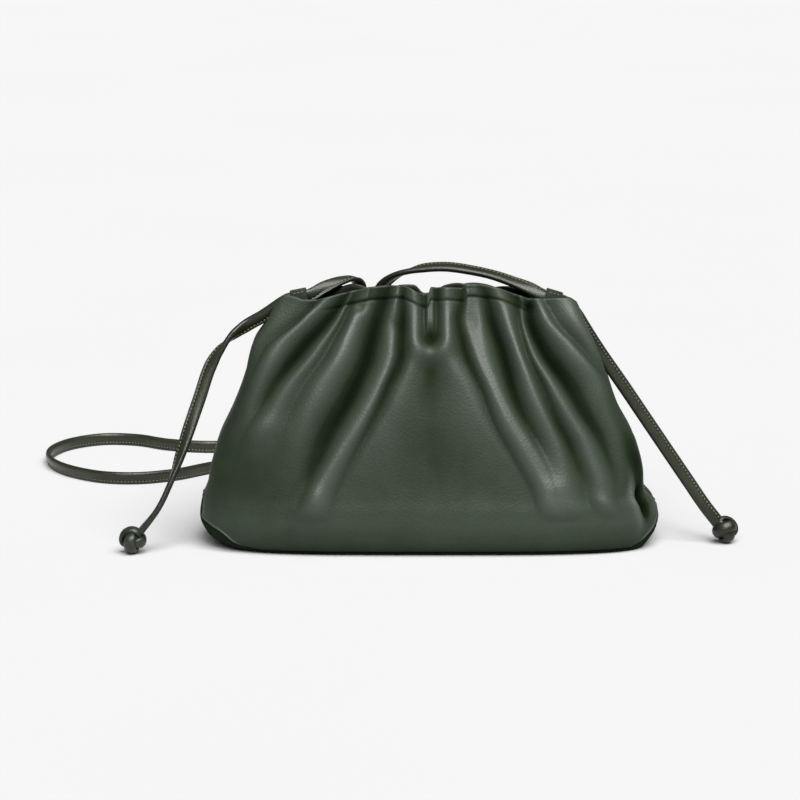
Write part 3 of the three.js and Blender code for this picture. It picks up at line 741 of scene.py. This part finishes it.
def readRows(keys, values, at):  # a smooth curve through the rows that doesn't overshoot them
    keys = np.asarray(keys, dtype=float)
    values = np.asarray(values, dtype=float)
    place = np.clip(at, keys[0], keys[-1])
    i = np.clip(np.searchsorted(keys, place, side="left") - 1, 0, len(keys) - 2)
    rates = np.diff(values) / np.diff(keys)
    slopes = np.zeros(len(keys))
    slopes[0], slopes[-1] = rates[0], rates[-1]
    product = rates[:-1] * rates[1:]
    total = rates[:-1] + rates[1:]
    slopes[1:-1] = np.where(product > 0, 2 * product / np.where(product > 0, total, 1), 0)
    span = keys[i + 1] - keys[i]
    t = (place - keys[i]) / span
    ease = t * t * (3 - 2 * t)
    pull = t * (1 - t) ** 2 * span * slopes[i] + t * t * (t - 1) * span * slopes[i + 1]
    return values[i] * (1 - ease) + values[i + 1] * ease + pull


def halfSizes(turn, height):
    columns = dict(zip(sectionColumns, zip(*sections)))
    share = height / bag["height"]
    read = {name: readRows(columns["height"], columns[name], share) for name in sectionColumns[1:]}
    length = np.where(np.cos(turn) > 0, read["left"], read["right"]) * bag["length"] / 2
    depth = np.where(np.sin(turn) > 0, read["front"], read["back"]) * bag["depth"] / 2
    return length, depth, read["tuck"] * bag["depth"] / 2, read["square"]


def bodyPoint(turn, height):  # turn 0 is the left seam, a quarter turn the front, half the right seam
    length, depth, tuck, square = halfSizes(turn, height)
    x = -rounded(np.cos(turn), 2 / square) * length
    y = -rounded(np.sin(turn), 2 / square) * depth
    x = x - np.sign(x) * tuck * bell(y / (bag["tuckBreadth"] * depth))
    return np.stack(np.broadcast_arrays(x, y, height), axis=-1)


def bodyNormal(turn, height):
    turnStep, heightStep = 0.01, 0.4 * mm
    along = bodyPoint(turn + turnStep, height) - bodyPoint(turn - turnStep, height)
    up = bodyPoint(turn, height + heightStep) - bodyPoint(turn, np.maximum(height - heightStep, 0))
    normal = np.cross(along, up)
    return normal / np.linalg.norm(normal, axis=-1, keepdims=True)


def acrossWidest(turn):
    return -rounded(np.cos(turn), 2 / widestSquare)


def turnsAlong(start, end, step):  # turns at even lengths along the bag's middle, closer at both ends
    fine = np.linspace(start, end, 1600)
    lengths = lengthsAlong(bodyPoint(fine, np.full_like(fine, bag["height"] / 2)))
    edge = np.array(drape["edgeColumns"]) * mm
    count = round((lengths[-1] - 2 * edge[-1]) / step)
    inner = np.linspace(edge[-1], lengths[-1] - edge[-1], count + 1)
    places = np.concatenate([edge[:-1], inner, lengths[-1] - edge[-2::-1]])
    return np.interp(places, lengths, fine), places, lengths[-1]


def baseSeamAt(turn):
    climb = readRows(*zip(*baseSeam), acrossWidest(turn))
    return bag["baseSeamHeight"] + (bag["baseEndHeight"] - bag["baseSeamHeight"]) * climb


def seamRoom(turn):  # half the gap between a panel and the base, wider where the seam climbs
    before, after = [bodyPoint(turn + step, baseSeamAt(turn + step)) for step in (-0.02, 0.02)]
    climb = (after[..., 2] - before[..., 2]) / np.hypot(*(after - before)[..., :2].T)
    return bag["baseSeamGap"] / 2 * np.hypot(1, climb)


def rimAt(rim, turn):
    dip = bag["seamDip"] * bell(np.sin(turn) / bag["dipBreadth"])
    return bag["height"] * readRows(*zip(*rim), acrossWidest(turn)) - dip


# Folds that hang from the gathers, as lines laid side by side from the left seam to the right one.
# Each line gives how sharp it is, from 0 for a rounded swell to 1 for a crease, then its places across
# the panel, in hundredths of half the length, and its rises in millimetres, both at foldHeights. The
# back panel's lines are named as seen from behind.
foldHeights = (0.14, 0.22, 0.33, 0.48, 0.63, 0.77, 0.88, 0.95, 1.00)
foldFade = {"side": (0.05, 0.45), "foot": (0.0, 0.10), "crest": 2.0, "scale": 1.2}


def seamLine(place):  # straight down a side seam, with no rise
    return 0.0, (place,) * len(foldHeights), (0,) * len(foldHeights)


frontFolds = {
    "left seam": seamLine(-102),
    "left shoulder": (0.3, (-98.5, -98, -98, -98, -97, -94, -86, -81, -78),
        (0, 0, 0, 0, 0, 0.3, 0.7, 0.5, 0.2)),
    "shoulder groove": (0.8, (-97, -96, -95, -94, -92, -86, -73, -66, -62),
        (0, 0, 0, 0, 0, -0.4, -0.9, -0.9, -0.6)),
    "first crest": (0.5, (-93, -92, -91, -89, -86, -79, -69, -62, -59),
        (0, 0, 0, 0.5, 1.8, 3, 3, 2.2, 1.2)),
    "first valley": (0.6, (-90, -88, -87, -85, -79, -67, -57, -51, -49),
        (0, 0, 0, 0, -1.2, -2.8, -2.8, -2, -1.2)),
    "second crest": (0.5, (-80, -79, -79, -77, -71, -58, -51, -48, -46.5),
        (0, 0, 0, 1.5, 2.4, 1.8, 1.2, 0.7, 0.3)),
    "second valley": (0.4, (-72, -70, -69, -69, -64, -53, -48, -46, -44.5),
        (0, 0, 0, 0.4, 0.6, 0.1, -0.5, -0.8, -0.5)),
    "third crest": (0.5, (-62, -61, -60, -60, -55, -45, -42, -39, -38),
        (0, 0, 0.3, 1.6, 3, 3.9, 3.3, 1, 0.2)),
    "third valley": (0.6, (-60, -56, -51, -46, -38, -32, -30, -27, -26),
        (0, 0, -0.9, -2.2, -3, -3.2, -2.8, -2, -1.2)),
    "fourth crest": (0.5, (-50, -49, -44, -35, -26, -20, -20.5, -20, -20),
        (0, 3, 3.5, 3.5, 3.4, 2.9, 1.8, 2.2, 1.5)),
    "fourth valley": (0.8, (-42, -40.5, -36, -29, -22, -15.5, -15.5, -16.5, -17),
        (0, 0, 0, -0.5, -1.2, -2.2, -2.4, -1.4, -0.8)),
    "fifth crest": (0.5, (-39, -38, -32, -23, -14, -8.5, -11, -13, -14),
        (0, 0.1, 0.7, 1.1, 1.4, 1.4, 0.6, 0.4, 0.2)),
    "middle": (0.0, (0, 0, 0, 0, 0, 0, 0, 0, 0), (0, 0, 0, 0, -0.5, -0.8, 0, 0, 0)),
    "sixth crest": (0.5, (44, 43, 36, 26, 18, 10, 11, 13, 14), (0, 0.1, 0.6, 0.9, 1.2, 1.2, 0.6, 0.4, 0.2)),
    "sixth valley": (0.8, (47, 46, 40, 32, 26, 19, 16, 19, 20),
        (0, 0.3, 0.1, -0.5, -1, -1.8, -2.2, -1.2, -0.7)),
    "seventh crest": (0.5, (54, 53, 48, 40, 32, 25, 22, 23, 23.5),
        (0, 3.4, 3.6, 3.6, 3.4, 2.8, 1.8, 1.8, 1.2)),
    "seventh slope": (0.0, (55, 54, 50, 42, 34, 28, 28, 28, 28), (0, 3.3, 3.3, 3.1, 3, 2.7, 1.9, 1.2, 0.8)),
    "seventh valley": (0.6, (57, 56, 54, 48, 42, 40, 36, 35, 34),
        (0, 2.8, 2, -1, -2.6, -3, -2.6, -1.6, -0.8)),
    "eighth crest": (0.5, (60, 59, 59, 57.5, 52, 48, 45, 44, 44),
        (0, 2.6, 2.4, 2.4, 2.8, 3.3, 3.3, 2.4, 1.4)),
    "eighth valley": (0.5, (72, 70, 67, 63, 58, 53, 52, 53, 53),
        (0, 0, -0.7, -1.1, -1.1, -0.8, -0.8, -1.4, -1)),
    "ninth crest": (0.5, (78, 76.5, 73.5, 70.5, 63, 56, 54, 56, 56),
        (0, 2.2, 2.2, 2.4, 2.2, 1.5, 0.7, 0.3, 0.2)),
    "ninth valley": (0.6, (85, 84, 82, 79, 72, 63, 59, 61, 61),
        (0, 0, -0.8, -1.8, -2.8, -3.6, -3.2, -1.6, -0.8)),
    "tenth crest": (0.5, (90, 88, 87, 89, 88, 79, 68, 66, 65.5), (0, 0, 0.2, 0.6, 1.8, 3.2, 3.2, 1.2, 0.6)),
    "tenth slope": (0.4, (93, 92, 92, 93, 93, 85, 74, 71, 70), (0, 0, 0, 0, 0.2, 0.2, 0.2, 0, 0)),
    "right shoulder": (0.3, (96, 96, 96, 96, 96.5, 92, 85, 83, 82), (0, 0, 0, 0, 0, 2.4, 3.8, 3, 1.4)),
    "right seam": seamLine(102),
}
backFolds = {
    "right seam": seamLine(-102),
    "first crest": (0.5, (-93, -92, -92, -90, -86, -78, -70, -66, -64),
        (0, 0, 0, 0.6, 1.8, 2.6, 2.6, 1.8, 1)),
    "first valley": (1.0, (-86, -84, -83, -80, -74, -66, -58, -54, -52),
        (0, 0, -0.4, -1, -1.8, -2.4, -2.2, -1.6, -0.9)),
    "second crest": (0.5, (-76, -74, -72, -66, -60, -53, -47, -44, -43),
        (0, 0.8, 2.4, 3, 3, 2.8, 2.4, 1.6, 0.9)),
    "second valley": (0.9, (-62, -60, -56, -50, -44, -39, -36, -34, -33),
        (0, 0, -0.6, -1.6, -2.4, -2.6, -2.4, -1.6, -0.9)),
    "third crest": (0.5, (-46, -45, -40, -33, -27, -21, -17, -16, -16),
        (0, 2.4, 3, 3, 3.2, 3, 2.6, 1.6, 0.8)),
    "third valley": (0.6, (-22, -20, -18, -14, -11, -8, -5, -3, -2),
        (0, 0, -0.4, -1, -1.6, -2.2, -2.4, -1.6, -0.8)),
    "fourth crest": (0.5, (2, 3, 4, 5, 6, 8, 10, 11, 12), (0, 0, 0.4, 1.4, 2.2, 2.6, 2.4, 1.6, 0.8)),
    "fourth valley": (0.9, (26, 26, 25, 24, 23, 22, 22, 22, 22),
        (0, 0, -0.6, -1.4, -2.2, -2.6, -2.4, -1.6, -0.8)),
    "fifth crest": (0.5, (52, 50, 46, 42, 38, 35, 33, 32, 32), (0, 2.6, 3.2, 3.2, 3, 2.8, 2.4, 1.6, 0.8)),
    "fifth valley": (1.0, (64, 62, 58, 54, 50, 46, 43, 42, 42),
        (0, 0, -0.6, -1.6, -2.4, -2.8, -2.6, -1.6, -0.9)),
    "sixth crest": (0.5, (78, 77, 74, 70, 66, 60, 55, 53, 53), (0, 0.6, 1.8, 2.6, 2.8, 2.6, 2.2, 1.4, 0.8)),
    "sixth valley": (0.9, (86, 85, 84, 81, 78, 70, 64, 62, 61),
        (0, 0, 0, -0.8, -1.6, -2.2, -2, -1.4, -0.8)),
    "seventh crest": (0.5, (93, 93, 92, 90, 87, 80, 73, 70, 69), (0, 0, 0, 0.6, 1.8, 2.4, 2.4, 1.4, 0.8)),
    "left seam": seamLine(102),
}
# Small hollows and swells: height, across, breadths in height and across in millimetres, and rise
frontSwells = [
    (0.865, -0.19, 4.5, 4.0, -1.4), (0.925, -0.40, 2.2, 2.4, -1.6),
    (0.24, -0.49, 5.0, 5.0, 0.9), (0.27, 0.55, 5.0, 7.0, 1.0), (0.20, 0.765, 4.0, 4.5, 0.8),
    (0.49, -0.79, 6.0, 8.0, 1.5), (0.88, 0.24, 4.0, 4.0, -0.9), (0.93, 0.59, 2.0, 2.5, -2.6),
]
# The panel's ends low down: angle from the side seam, height, their breadths, rise in millimetres and tone,
# which is painted light: a painted highlight where above 0 and painted shade where below
rightEndSwells = [
    (0.41, 0.185, 0.06, 0.045, -8.5, -2.8), (0.55, 0.20, 0.04, 0.09, 1.8, 0.9),
    (0.45, 0.34, 0.12, 0.10, 0, -0.9),
]
leftEndSwells = [(0.25, 0.20, 0.03, 0.055, 1.0, 1.2), (0.14, 0.19, 0.06, 0.06, -2.2, -1.6)]
# Pleats in the hem: where each ends, how far it stands out, and which way it runs back from there
hemPleats = [(-0.362, 1.4, -1), (-0.172, 1.5, -1), (0.227, 1.6, 1), (0.56, 0.9, 1)]


def foldHeight(folds, across, share):
    sharps, places, rises = zip(*folds.values())
    places = [readRows(foldHeights, row, share) / 100 for row in places]
    rises = [readRows(foldHeights, row, share) for row in rises]
    result = np.zeros_like(across)
    for k in range(len(sharps) - 1):
        room = np.maximum(places[k + 1] - places[k], 1e-4)
        u = (across - places[k]) / room
        climbs = rises[k + 1] >= rises[k]
        v = np.clip(np.where(climbs, u, 1 - u), 0, 1)
        low = np.minimum(rises[k], rises[k + 1])
        high = np.maximum(rises[k], rises[k + 1])
        sharp = np.where(climbs, sharps[k], sharps[k + 1])
        creased = 1 - (1 - v) ** foldFade["crest"]
        shape = sharp * creased + (1 - sharp) * v * v * (3 - 2 * v)
        result = np.where((u >= 0) & (u < 1), low + (high - low) * shape, result)
    return result * foldFade["scale"] * mm


def swellHeight(swells, across, share, halfLength):
    rise = np.zeros_like(across)
    for height, place, tall, wide, size in swells:
        up = (share - height) * bag["height"] / (tall * mm)
        aside = (across - place) * halfLength / (wide * mm)
        rise += size * mm * bell(up) * bell(aside)
    return rise


def endHeight(swells, angle, share):  # rise and tone
    rise = np.zeros(np.broadcast(angle, share).shape)
    tone = np.zeros_like(rise)
    for place, height, wide, tall, size, shade in swells:
        near = bell((angle - place) / wide) * bell((share - height) / tall)
        rise += size * mm * near
        tone += shade * near
    return rise, tone


def pleatHeight(pleats, across, halfLength):
    rise = np.zeros_like(across)
    for place, size, way in pleats:
        back = (across - place) * way * halfLength
        sinking = np.exp(-np.maximum(back, 0) / drape["pleatReach"])
        rise += size * mm * sinking * smoothStep(back, -drape["pleatEdge"], drape["pleatEdge"])
    return rise


# The middle gather: a narrow pleat in a groove, with a raised lip round its foot
pinch = {
    "radius": 7.4 * mm, "drop": 22.3 * mm, "lip": 2.9 * mm, "lipBreadth": 4.6 * mm,
    "depth": 3.4 * mm, "grooveBreadth": 4.4 * mm,
    "pleat": 5.0 * mm, "pleatBreadth": 2.3 * mm, "pleatPlace": -0.2 * mm,
    "pleatStarts": (0.80, 0.88),
}


def pinchHeight(across, share, halfLength):
    aside = across * halfLength
    below = np.maximum(0, bag["height"] * (1 - share) - pinch["drop"])
    away = np.hypot(aside, below)
    lip = pinch["lip"] * bell((away - pinch["radius"]) / pinch["lipBreadth"])
    groove = -pinch["depth"] * bell(away / pinch["grooveBreadth"])
    fromPleat = (aside - pinch["pleatPlace"]) / pinch["pleatBreadth"]
    pleat = pinch["pleat"] * bell(fromPleat ** 2) * smoothStep(share, *pinch["pleatStarts"])
    return lip + groove + pleat


def wavyNoise(points, size, seed):  # smooth noise in -1 to 1 at each point
    shift = Vector((seed * 7.3, seed * 3.1, seed * 5.7))
    flat = points.reshape(-1, 3) / size
    values = [noise.noise(Vector(p) + shift) for p in flat]
    return np.array(values).reshape(points.shape[:-1])


# A panel's surface: a band of hem at the rim, rolled edges at the seams, folds, creases and wrinkles
drape = {
    # The mesh: foot rows are shares of the panel's height, edge columns are millimetres from a seam
    "columnStep": 0.95 * mm, "edgeColumns": (0.0, 0.2, 0.45, 0.8, 1.2),
    "footRows": (0, 0.0018, 0.0045, 0.008, 0.013), "bodyRows": 100, "hemRows": 20, "hemRowsReach": 8 * mm,
    # Rolled edges, the lip that lies over the base at both ends, the hem and its pleats
    "edgeRoll": 0.7 * mm, "edgeReach": 1.1 * mm, "footLip": 0.5 * mm, "footLipFrom": (2 * mm, 6 * mm),
    "hemStand": 0.55 * mm, "hemCrease": 0.75 * mm, "hemCreaseBreadth": 0.8 * mm, "hemFade": (0.46, 0.66),
    "hemEdge": 0.3 * mm, "hemRounding": (0.25, 0.5, 0.75), "pleatReach": 5 * mm, "pleatEdge": 0.4 * mm,
    # Puckers under the rim, slow waves and fine wrinkles
    "pucker": 0.38 * mm, "puckerSpacing": 7 * mm, "puckerReach": 12 * mm, "puckerStretch": 0.15,
    "wave": 0.7 * mm, "waveSize": 34 * mm,
    "wrinkle": 0.16 * mm, "wrinkleSize": 8 * mm, "wrinkleStretch": 0.45,
    # Painted light: the rise that gets the full lighter tint of wear and painted highlight, the depth that
    # gets the full painted shade, a painted highlight on the lip at the ends and on the rim, the hem band
    # painted a little darker, a band low down painted lighter as a painted reflection of the floor, and
    # painted shade under the foot
    "wearAndHighlightRise": 5 * mm, "shadeDepth": 3.3 * mm, "lipHighlight": 1.2, "hemTone": 0.3, "rimHighlight": 0.4,
    "footReflection": 0.25, "footBand": (0.13, 0.07), "underShade": 0.35, "underBand": 0.03,
}


def panelShares():
    hem = drape["hemRowsReach"] / bag["height"]
    body = np.linspace(drape["footRows"][-1], 1 - hem, drape["bodyRows"])
    top = np.linspace(1 - hem, 1, drape["hemRows"] + 1)
    return np.concatenate([drape["footRows"][:-1], body, top[1:]])


def panelSurface(turns, places, total, look):
    rim, folds, shift, seed = look["rim"], look["folds"], look["shift"], look["seed"]
    shares = panelShares()[:, None]
    turn = turns[None, :]
    foot = baseSeamAt(turns) + seamRoom(turns)
    top = rimAt(rim, turns)
    height = foot + (top - foot) * shares
    share = height / bag["height"]
    length, _, _, square = halfSizes(turn, height)
    across = -rounded(np.cos(turn), 2 / square)
    plain = bodyPoint(turn, height)
    normal = bodyNormal(turn, height)
    fromSide = smoothStep(np.abs(np.sin(turn)), *foldFade["side"])
    fromBase = smoothStep(shares, *foldFade["foot"])
    belowRim = top - height
    rise = foldHeight(folds, across, share) + swellHeight(look["swells"], across, share, length)
    if look["pinched"]:
        rise += pinchHeight(across, share, length)
    rise = rise * fromSide * fromBase
    # The ends also give painted light: painted highlight on their ridges, painted shade in their pockets
    leftRise, leftPaintedLight = endHeight(look["leftEnd"], turn, share)
    rightRise, rightPaintedLight = endHeight(look["rightEnd"], math.pi - turn, share)
    rise += leftRise + rightRise
    pucker = wavyNoise(np.stack(np.broadcast_arrays(
        places, belowRim * drape["puckerStretch"], 0 * belowRim), axis=-1), drape["puckerSpacing"], seed)
    rise += drape["pucker"] * pucker * bell(belowRim / drape["puckerReach"]) * fromSide
    wave = wavyNoise(plain, drape["waveSize"], seed + 1)
    rise += drape["wave"] * wave * fromBase * fromSide
    stretched = plain * np.array([1, 1, drape["wrinkleStretch"]])
    wrinkle = wavyNoise(stretched, drape["wrinkleSize"], seed + 2)
    rise += drape["wrinkle"] * wrinkle * fromBase
    onHem = smoothStep(bag["hemHeight"] - belowRim, -drape["hemEdge"], drape["hemEdge"])
    hemShows = 1 - smoothStep(np.abs(across), *drape["hemFade"])
    rise += (drape["hemStand"] * hemShows + pleatHeight(look["pleats"], across, length)) * onHem
    underHem = (belowRim - bag["hemHeight"]) / drape["hemCreaseBreadth"]
    rise -= drape["hemCrease"] * bell(underHem) * hemShows
    fromEdge = np.minimum(places, total - places)[None, :] + 0 * height
    atEnd = smoothStep(foot, *drape["footLipFrom"])[None, :]
    rise -= drape["edgeRoll"] * bell(fromEdge / drape["edgeReach"]) ** 2
    footEdge = bell((height - foot) / drape["edgeReach"]) ** 2
    rise += footEdge * (drape["footLip"] * atEnd - drape["edgeRoll"] * (1 - atEnd))
    outer = plain + normal * rise[..., None]
    outer[..., 1] += shift
    wall = bag["wall"] + (bag["hemWall"] - bag["wall"]) * onHem
    inner = outer - normal * wall[..., None]
    # Painted light: crests are lighter, as rubbed wear and painted highlight, and hollows darker, as
    # painted shade. The foot lip at the ends gets a painted highlight, and the hem band is a little darker.
    # A band low down is lighter, as painted reflection, and the foot gets painted shade.
    wear = rise / np.where(rise > 0, drape["wearAndHighlightRise"], drape["shadeDepth"])
    wear += leftPaintedLight + rightPaintedLight
    wear += drape["lipHighlight"] * footEdge * atEnd - drape["hemTone"] * onHem * hemShows
    bandMiddle, bandBreadth = drape["footBand"]
    wear += drape["footReflection"] * bell((share - bandMiddle) / bandBreadth)
    wear -= drape["underShade"] * bell(share / drape["underBand"])
    return outer, inner, np.clip(wear, -1, 1)


def panelMesh(name, outer, inner, wear):
    rows, columns = outer.shape[:2]
    points = list(outer.reshape(-1, 3))
    tone = list(wear.reshape(-1))
    middle = (outer[-1] + inner[-1]) / 2
    half = (outer[-1] - inner[-1]) / 2
    up = np.array([0, 0, 1.0])
    arch = []
    for part in drape["hemRounding"]:
        angle = math.pi * part
        lift = up * np.linalg.norm(half, axis=1, keepdims=True) * math.sin(angle)
        arch.append(len(points) + np.arange(columns))
        points += list(middle + half * math.cos(angle) + lift)
        # a painted highlight along the rim's rounded top edge
        tone += [drape["rimHighlight"]] * columns
    innerRows = [*range(rows - 1, 0, -2), 0]
    lining = []
    for row in innerRows:
        lining.append(len(points) + np.arange(columns))
        points += list(inner[row])
        tone += [0.0] * columns
    skin = [row * columns + np.arange(columns) for row in range(rows)]
    levels = skin + arch + lining
    quads = []
    slots = []
    for below, above in zip(levels[:-1], levels[1:]):
        for i in range(columns - 1):
            quads.append((below[i], below[i + 1], above[i + 1], above[i]))
    slots += [0] * ((rows + len(arch) - 1) * (columns - 1))
    slots += [1] * (len(quads) - len(slots))
    for i in range(columns - 1):
        quads.append((skin[0][i + 1], skin[0][i], lining[-1][i], lining[-1][i + 1]))
    slots += [0] * (columns - 1)
    for i, flip in ((0, False), (columns - 1, True)):
        caps = [(skin[-1][i], *[level[i] for level in arch], lining[0][i])]
        for upper, lower, k in zip(lining[:-1], lining[1:], range(len(lining))):
            high, low = innerRows[k], innerRows[k + 1]
            caps.append((upper[i], lower[i], *[skin[row][i] for row in range(low, high + 1)]))
        quads += [tuple(reversed(cap)) if flip else cap for cap in caps]
        slots += [0] * len(caps)
    return meshObject(name, points, quads, [nappaLeather, suedeReverse], slots, tone)


def buildPanel(name, look):
    turns, places, total = turnsAlong(look["start"], look["start"] + math.pi, drape["columnStep"])
    return panelMesh(name, *panelSurface(turns, places, total, look))


panelLooks = {
    "front": {
        "start": 0, "rim": frontRim, "folds": frontFolds, "swells": frontSwells, "pleats": hemPleats,
        "leftEnd": leftEndSwells, "rightEnd": rightEndSwells, "pinched": True,
        "shift": -bag["seamGap"] / 2, "seed": 11,
    },
    "back": {
        "start": -math.pi, "rim": backRim, "folds": backFolds, "swells": [], "pleats": [],
        "leftEnd": [], "rightEnd": [], "pinched": False,
        "shift": bag["seamGap"] / 2, "seed": 23,
    },
}
for side, look in panelLooks.items():
    finishPiece(buildPanel(side + "_leather", look), "nappa_leather", side + "_panel")


# The base: a flat underside that turns up into the ends
base = {
    "flatShares": (0.2, 0.45, 0.7, 0.85, 0.93, 0.97),
    "climbShares": (0, 0.04, 0.1, 0.18, 0.28, 0.4, 0.52, 0.64, 0.76, 0.86, 0.93, 0.97, 1.0),
    "columns": 300,
    "edgeRoll": 0.5 * mm, "edgeRollShare": 0.05,
    "wrinkle": 0.25 * mm, "wrinkleSize": 9 * mm, "wrinkleFade": (0, 6 * mm), "seed": 41,
    # the whole base is painted darker, as shade under the bag
    "tone": -0.4,
}


def baseMesh():
    turns = np.linspace(-math.pi, math.pi, 4000)
    lengths = lengthsAlong(bodyPoint(turns, np.full_like(turns, 10 * mm)))
    turns = np.interp(np.linspace(0, lengths[-1], base["columns"] + 1)[:-1], lengths, turns)
    rim = baseSeamAt(turns) - seamRoom(turns)
    outer = []
    inner = []
    for share in base["flatShares"]:
        flat = bodyPoint(turns, np.zeros_like(turns)) * share
        flat[:, 2] = 0
        outer.append(flat)
        inner.append(flat + np.array([0, 0, bag["wall"]]))
    for share in base["climbShares"]:
        height = rim * share
        normal = bodyNormal(turns, height)
        skin = bodyPoint(turns, height)
        wrinkle = base["wrinkle"] * wavyNoise(skin, base["wrinkleSize"], base["seed"])
        wrinkle *= smoothStep(height, *base["wrinkleFade"])
        roll = base["edgeRoll"] * bell((1 - share) / base["edgeRollShare"])
        skin += normal * (wrinkle - roll)[:, None]
        skin[:, 2] = np.maximum(skin[:, 2], 0)
        outer.append(skin)
        inner.append(skin - normal * bag["wall"])
    count = base["columns"]
    levels = outer + inner[::-1]
    points = [np.zeros(3)] + [p for level in levels for p in level] + [np.array([0, 0, bag["wall"]])]
    quads = ringQuads(len(levels), count, 1)
    last = 1 + (len(levels) - 1) * count
    for i in range(count):
        n = (i + 1) % count
        quads += [(0, 1 + n, 1 + i), (last + i, last + n, len(points) - 1)]
    # painted shade: the base gets the dark tint all over
    tone = np.full(len(points), base["tone"])
    return meshObject("base_leather", points, quads, [nappaLeather], wear=tone)


finishPiece(baseMesh(), "nappa_leather", "base_panel")
print("base made")


# The keepers: a sleeve of leather round the strap at each side seam
def buildKeeper(side):
    inside = (strap["thickness"] + 2 * keeper["clearance"], strap["width"] + 2 * keeper["clearance"])
    grow = 2 * keeper["wall"]
    bpy.ops.object.select_all(action="DESELECT")
    bpy.ops.mesh.primitive_cube_add(size=1, location=(0, 0, 0))
    piece = bpy.context.object
    piece.name = "keeper_" + side + "_sleeve"
    bpy.ops.object.mode_set(mode="EDIT")
    bpy.ops.mesh.select_mode(type="FACE")
    bpy.ops.mesh.select_all(action="SELECT")
    bpy.ops.transform.resize(value=(keeper["length"], inside[0] + grow, inside[1] + grow))
    bpy.ops.mesh.select_all(action="DESELECT")
    bpy.ops.object.mode_set(mode="OBJECT")
    for face in piece.data.polygons:
        face.select = abs(face.normal.x) > 0.9
    bpy.ops.object.mode_set(mode="EDIT")
    bpy.ops.mesh.delete(type="FACE")
    bpy.ops.mesh.select_all(action="SELECT")
    bpy.ops.mesh.normals_make_consistent(inside=False)
    bpy.ops.object.mode_set(mode="OBJECT")
    wall = piece.modifiers.new("wall", "SOLIDIFY")
    wall.thickness = keeper["wall"]
    wall.offset = -1
    wall.use_even_offset = True
    soften = piece.modifiers.new("soften", "BEVEL")
    soften.width = keeper["softening"]
    soften.segments = 3
    soften.limit_method = "ANGLE"
    for modifier in ("wall", "soften"):
        bpy.ops.object.modifier_apply(modifier=modifier)
    run = keeperRuns[side]
    out = Vector(run["outward"]).normalized()
    face = Vector(run["face"])
    face = (face - out * face.dot(out)).normalized()
    turned = Matrix((out, face, out.cross(face))).transposed().to_4x4()
    placed = Matrix.Translation(Vector(run["middle"]) * mm) @ turned
    piece.data.transform(placed)
    piece.data.materials.append(nappaLeather)
    bpy.ops.object.shade_smooth_by_angle(angle=math.radians(40))
    surface = (inside[0] + grow) / 2
    reach = strap["stitchLength"] / 2
    stitches = []
    for edge in (-1, 1):
        row = edge * keeper["stitchPlace"] * inside[1]
        for i in range(keeper["stitches"]):
            along = (i + 0.5 - keeper["stitches"] / 2) * strap["stitchPitch"]
            for front in (-1, 1):
                start, end = [placed @ Vector((along + way, front * surface, row))
                              for way in (-reach, reach)]
                stitches.append((start, end, face * front))
    finishPiece(stitchRow("keeper_" + side + "_stitches", stitches, strap["threadWidth"]), "strap_leather")
    finishPiece(piece, "strap_leather", "keeper_" + side)


for side in keeperRuns:
    buildKeeper(side)
print("keepers made")
